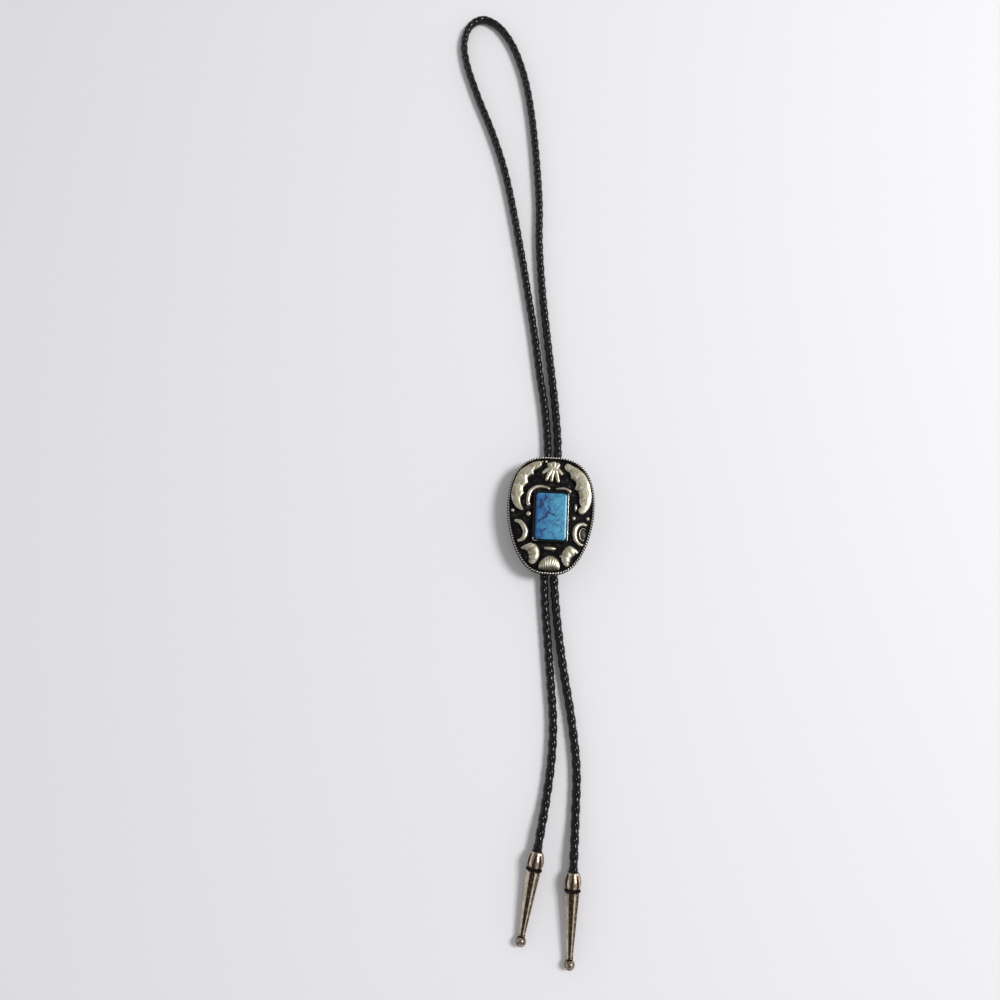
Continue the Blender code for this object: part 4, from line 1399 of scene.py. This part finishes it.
@dataclass
class Band:
    """A rounded band of relief that swells and tapers along its line.

    Its stations give millimetres: x, y and the width there.
    """

    name: str
    stations: Rows
    height: float
    fullness: float = 2.2
    start_wear: float = 1.0
    columns: int = 72
    rows: int = 20

    def surface(self, relief: "Relief") -> Mapping:
        """The band's surface, with both of its ends rounded."""
        line = Track(in_metres(self.stations))
        knots = np.linspace(0.0, 1.0, len(self.stations))
        widths = np.array([station[2] * MM for station in self.stations])

        def place(along: np.ndarray, across: np.ndarray) -> Surface:
            across = crowd_edges(across)
            along = crowd_edges(along) * 0.5 + along * 0.5
            width = np.interp(along, knots, widths)
            away = np.minimum(along, 1.0 - along) * line.length
            round_end = np.sqrt(np.clip(1.0 - np.clip(1.0 - away / (0.5 * width), 0.0, 1.0) ** 2, 0.0, 1.0))
            way = line.heading(along, 0.01)
            side = np.stack([-way[:, 1], way[:, 0]], axis=1)
            flat = line.at(along) + side * ((across - 0.5) * width * round_end)[:, None]
            body = dome(across, self.fullness) * round_end
            worn = (0.10 + 0.95 * body) * (self.start_wear + (1.0 - self.start_wear) * along)
            return relief.raised(flat, self.height * body * np.sqrt(width / widths.max()), worn)

        return place


@dataclass
class Shell:
    """A smooth domed shell between its rim and its bite, with faint flutes that run from one to the other."""

    name: str
    rim: Rows
    bite: Rows
    flutes: int = 5
    flute_depth: float = 0.09 * MM
    low_shade: float = 0.18
    height: float = 2.2 * MM
    fullness: Span = (2.5, 2.6)
    columns: int = 110
    rows: int = 36

    def surface(self, relief: "Relief") -> Mapping:
        """The shell's surface, which is highest nearer its rim."""
        rim = Track(in_metres(self.rim))
        bite = Track(in_metres(self.bite))

        def place(along: np.ndarray, across: np.ndarray) -> Surface:
            across = crowd_edges(across)
            along = crowd_edges(along) * 0.5 + along * 0.5
            outside = rim.at(along)
            flat = outside + (bite.at(along) - outside) * across[:, None]
            body = dome(across**0.9, self.fullness[0]) * dome(0.01 + 0.98 * along, self.fullness[1])
            flute = (0.5 + 0.5 * np.cos(FULL_TURN * self.flutes * along)) ** 2 * body
            worn = 0.05 + 0.95 * body - 0.42 * flute - self.low_shade * ease(across, 0.30, 0.85)
            return relief.raised(flat, self.height * body - self.flute_depth * flute, worn)

        return place


class Bead(NamedTuple):
    """A bead in millimetres: its middle, half its sizes, its height, its turn in degrees and its wear."""

    x: float
    y: float
    half_width: float
    half_length: float
    height: float
    turn: float = 0.0
    wear: float = 1.0


@dataclass
class Relief:
    """All the cast relief on the field."""

    slide: Slide
    border_gap: float = 1.65 * MM
    sink: float = 0.05 * MM
    shapes: tuple[Wing | Band | Shell, ...] = (
        Wing(
            "left_wing",
            outer=(
                (-5.4, 26.6), (-6.4, 27.5), (-8.8, 27.1), (-11.8, 25.6), (-14.7, 23.6), (-17.2, 21.0),
                (-19.2, 17.7), (-20.3, 14.5), (-20.6, 11.4), (-20.2, 8.3), (-19.4, 5.6), (-18.0, 3.5),
                (-16.3, 2.0), (-14.8, 1.4), (-13.6, 1.6),
            ),
            inner=(
                (-5.2, 26.3), (-5.6, 24.8), (-7.1, 23.6), (-8.6, 22.6), (-9.4, 21.6), (-9.1, 20.3),
                (-11.1, 19.7), (-12.1, 18.1), (-11.9, 15.9), (-13.6, 14.0), (-14.2, 11.7), (-13.7, 10.4),
                (-15.1, 8.3), (-15.2, 5.8), (-14.5, 3.7), (-13.4, 1.9),
            ),
        ),
        Wing(
            "right_wing",
            outer=(
                (6.9, 26.6), (7.9, 26.8), (10.1, 25.8), (12.8, 24.6), (15.4, 22.8), (17.9, 20.2),
                (19.6, 17.1), (20.4, 14.0), (20.6, 10.4), (20.1, 6.8), (18.9, 3.6), (17.1, 1.4),
                (15.4, 0.7), (14.0, 1.3),
            ),
            inner=(
                (6.6, 26.3), (6.0, 24.7), (7.4, 22.7), (9.2, 21.0), (9.5, 19.2), (11.2, 18.0),
                (12.2, 16.0), (11.5, 13.9), (13.2, 12.2), (14.0, 9.2), (13.8, 6.9), (14.7, 5.2),
                (13.6, 2.7), (13.8, 1.6),
            ),
        ),
        Band(
            "left_scroll",
            (
                (-0.7, 12.9, 1.9), (-2.4, 13.8, 1.6), (-5.2, 14.3, 1.9), (-8.2, 13.7, 2.2),
                (-10.6, 11.6, 2.4), (-11.5, 8.6, 2.5), (-11.6, 6.0, 2.3), (-10.8, 3.9, 2.7),
            ),
            1.4 * MM,
        ),
        Band(
            "right_scroll",
            ((2.0, 13.2, 1.1), (4.4, 13.6, 1.6), (7.4, 13.4, 1.9), (10.1, 11.8, 2.1)),
            1.4 * MM,
        ),
        Band(
            "left_crescent",
            (
                (-18.2, -3.7, 1.5), (-15.4, -4.2, 2.3), (-13.2, -6.5, 2.9), (-12.2, -9.1, 3.2),
                (-12.6, -11.7, 2.9), (-14.1, -13.4, 2.3), (-16.2, -14.0, 1.3),
            ),
            1.7 * MM,
        ),
        Band(
            "right_crescent",
            (
                (18.5, -4.8, 1.3), (16.1, -4.1, 1.9), (13.7, -5.1, 2.4), (12.4, -7.3, 3.0),
                (12.2, -10.0, 3.0), (13.2, -12.6, 2.5), (14.9, -14.3, 1.8), (16.9, -14.7, 1.1),
            ),
            1.7 * MM,
        ),
        Band(
            "hollow_ring",
            (
                (17.7, -6.9, 0.5), (16.6, -6.2, 0.6), (15.2, -7.2, 0.7), (14.7, -9.3, 0.7),
                (15.1, -11.3, 0.7), (16.3, -12.3, 0.6), (17.2, -11.9, 0.5),
            ),
            0.7 * MM,
            start_wear=0.6,
        ),
        Shell(
            "left_shell",
            rim=(
                (-14.6, -17.7), (-12.1, -15.9), (-8.7, -14.6), (-6.3, -15.6), (-4.8, -18.2), (-4.6, -20.3),
                (-5.3, -22.9), (-6.6, -24.8), (-8.3, -25.4), (-9.9, -24.9),
            ),
            bite=(
                (-14.5, -18.0), (-13.2, -18.4), (-11.4, -19.0), (-10.4, -21.0), (-10.3, -23.0),
                (-10.1, -24.7),
            ),
        ),
        Shell(
            "right_shell",
            rim=(
                (14.7, -18.6), (12.5, -16.4), (10.3, -15.3), (8.6, -15.6), (7.2, -17.1), (5.9, -19.5),
                (5.8, -22.0), (6.5, -24.1), (8.1, -25.7), (9.8, -25.9),
            ),
            bite=((14.6, -18.9), (12.7, -20.2), (11.2, -21.7), (10.4, -23.9), (9.9, -25.7)),
        ),
        Shell(
            "foot_shell",
            rim=(
                (-5.1, -27.6), (-4.9, -25.0), (-2.9, -22.3), (0.0, -20.7), (2.7, -21.2), (4.9, -23.2),
                (5.6, -25.8), (5.1, -27.9),
            ),
            bite=((-4.9, -27.8), (-2.6, -28.25), (0.1, -28.45), (2.7, -28.25), (4.9, -28.0)),
            flutes=13,
            low_shade=0.42,
        ),
    )
    palmette: tuple[Rows, ...] = (
        ((0.7, 22.6, 2.8), (-0.6, 24.6, 2.8), (-2.2, 27.0, 2.8)),
        ((0.7, 22.6, 2.8), (0.8, 25.0, 3.0), (0.8, 27.8, 3.0)),
        ((0.7, 22.6, 2.8), (2.1, 24.6, 2.8), (3.5, 27.1, 2.8)),
        ((0.2, 24.0, 2.6), (-2.4, 23.2, 2.3), (-5.1, 21.1, 1.5)),
        ((1.2, 24.0, 2.6), (3.2, 23.0, 2.3), (5.5, 20.7, 1.5)),
        ((0.2, 24.0, 2.4), (-1.6, 21.0, 2.3), (-3.0, 17.3, 1.8)),
        ((0.7, 24.0, 2.2), (0.2, 20.6, 2.1), (-0.3, 16.8, 1.7)),
        ((1.2, 24.0, 2.4), (2.4, 20.6, 2.3), (3.5, 16.5, 1.8)),
    )
    beads: tuple[Bead, ...] = (
        Bead(-19.0, 1.4, 1.00, 1.00, 1.1),
        Bead(-10.9, 0.1, 1.45, 1.30, 1.2),
        Bead(11.6, -1.3, 1.15, 1.15, 1.2),
        Bead(18.6, -1.2, 1.05, 1.05, 1.1),
        Bead(12.4, 4.2, 1.0, 2.0, 1.1),
        Bead(5.7, -20.8, 0.75, 0.75, 1.1),
        Bead(-5.3, 27.4, 0.6, 0.6, 0.8, wear=0.6),
        Bead(-3.2, 27.5, 0.75, 0.75, 1.0),
        Bead(0.3, -17.0, 3.2, 1.1, 1.2, turn=-3.0),
        Bead(16.5, -9.3, 1.4, 2.6, 0.5, wear=0.22),
        Bead(16.5, -9.3, 0.35, 0.35, 0.9),
        Bead(0.7, 24.4, 3.3, 3.5, 1.45, wear=0.62),
    )

    def raised(self, flat: np.ndarray, rise: np.ndarray, worn: np.ndarray) -> Surface:
        """Stand a flat layout up on the field.

        Args:
            flat: where the points are across and along the slide.
            rise: how high each one stands above the field.
            worn: how rubbed each one is.

        Returns:
            The surface, held inside the border.
        """
        spots = np.column_stack([flat, self.slide.field_top - self.sink + np.maximum(rise, 0.0)])
        return Surface(self.slide.outline.hold_inside(spots, self.border_gap), np.clip(worn, 0.0, 1.0))

    def stand(self, shape: Wing | Band | Shell) -> Form:
        """Lay a shape's grid and close its foot under the field."""
        form = mapped_grid(shape.columns, shape.rows, shape.surface(self))
        close_foot(form, self.slide.field_top - self.slide.relief_foot)
        return form

    def build(self) -> None:
        """Build every piece of the relief."""
        for shape in self.shapes:
            finish_piece(self.stand(shape), shape.name, CAST_SILVER, self.slide.nodes)
        lobes = [Band("lobe", line, 1.5 * MM, 2.4, 0.50, columns=32, rows=16) for line in self.palmette]
        palmette = join_forms([self.stand(lobe) for lobe in lobes])
        finish_piece(palmette, "palmette", CAST_SILVER, self.slide.nodes)
        for number, bead in enumerate(self.beads):
            self.build_bead(number, bead)

    def build_bead(self, number: int, bead: Bead) -> None:
        """Build one bead, sunk to its middle in the field."""
        form = bmesh.new()
        bmesh.ops.create_uvsphere(form, u_segments=28, v_segments=16, radius=1.0)
        set_wear(form, lambda spot: bead.wear * min(1.0, max(0.0, 0.15 + 1.1 * spot.z)))
        sized = Matrix.Diagonal((bead.half_width * MM, bead.half_length * MM, bead.height * MM, 1.0))
        turned = Matrix.Rotation(math.radians(bead.turn), 4, "Z")
        placed = Matrix.Translation((bead.x * MM, bead.y * MM, self.slide.field_top - self.sink))
        bmesh.ops.transform(form, matrix=placed @ turned @ sized, verts=form.verts)
        finish_piece(form, f"bead_{number}", CAST_SILVER, self.slide.nodes)


@dataclass
class CordClip:
    """The hidden clip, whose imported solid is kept."""

    node: str = "cord_clip"

    def dress(self) -> None:
        """Give the clip its satin metal."""
        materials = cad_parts[self.node].data.materials
        materials.clear()
        materials.append(CLIP_SATIN.material())
        LOG.info("%s: kept, satin metal", self.node)


def main() -> None:
    """Build the studio and every piece of the tie."""
    logging.basicConfig(level=logging.INFO, format="%(name)s %(message)s")
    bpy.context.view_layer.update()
    Studio().build()
    tips = TipForm()
    seats = (
        TipSeat("tip_left", 0.0000, -0.1576, 8.5, 11.0),
        TipSeat("tip_right", 0.0168, -0.1655, 0.5, 11.0),
    )
    BraidedCord().build(tips, seats)
    Slide().build()
    for seat in seats:
        tips.build(seat)
    CordClip().dress()


if __name__ == "__main__":
    main()
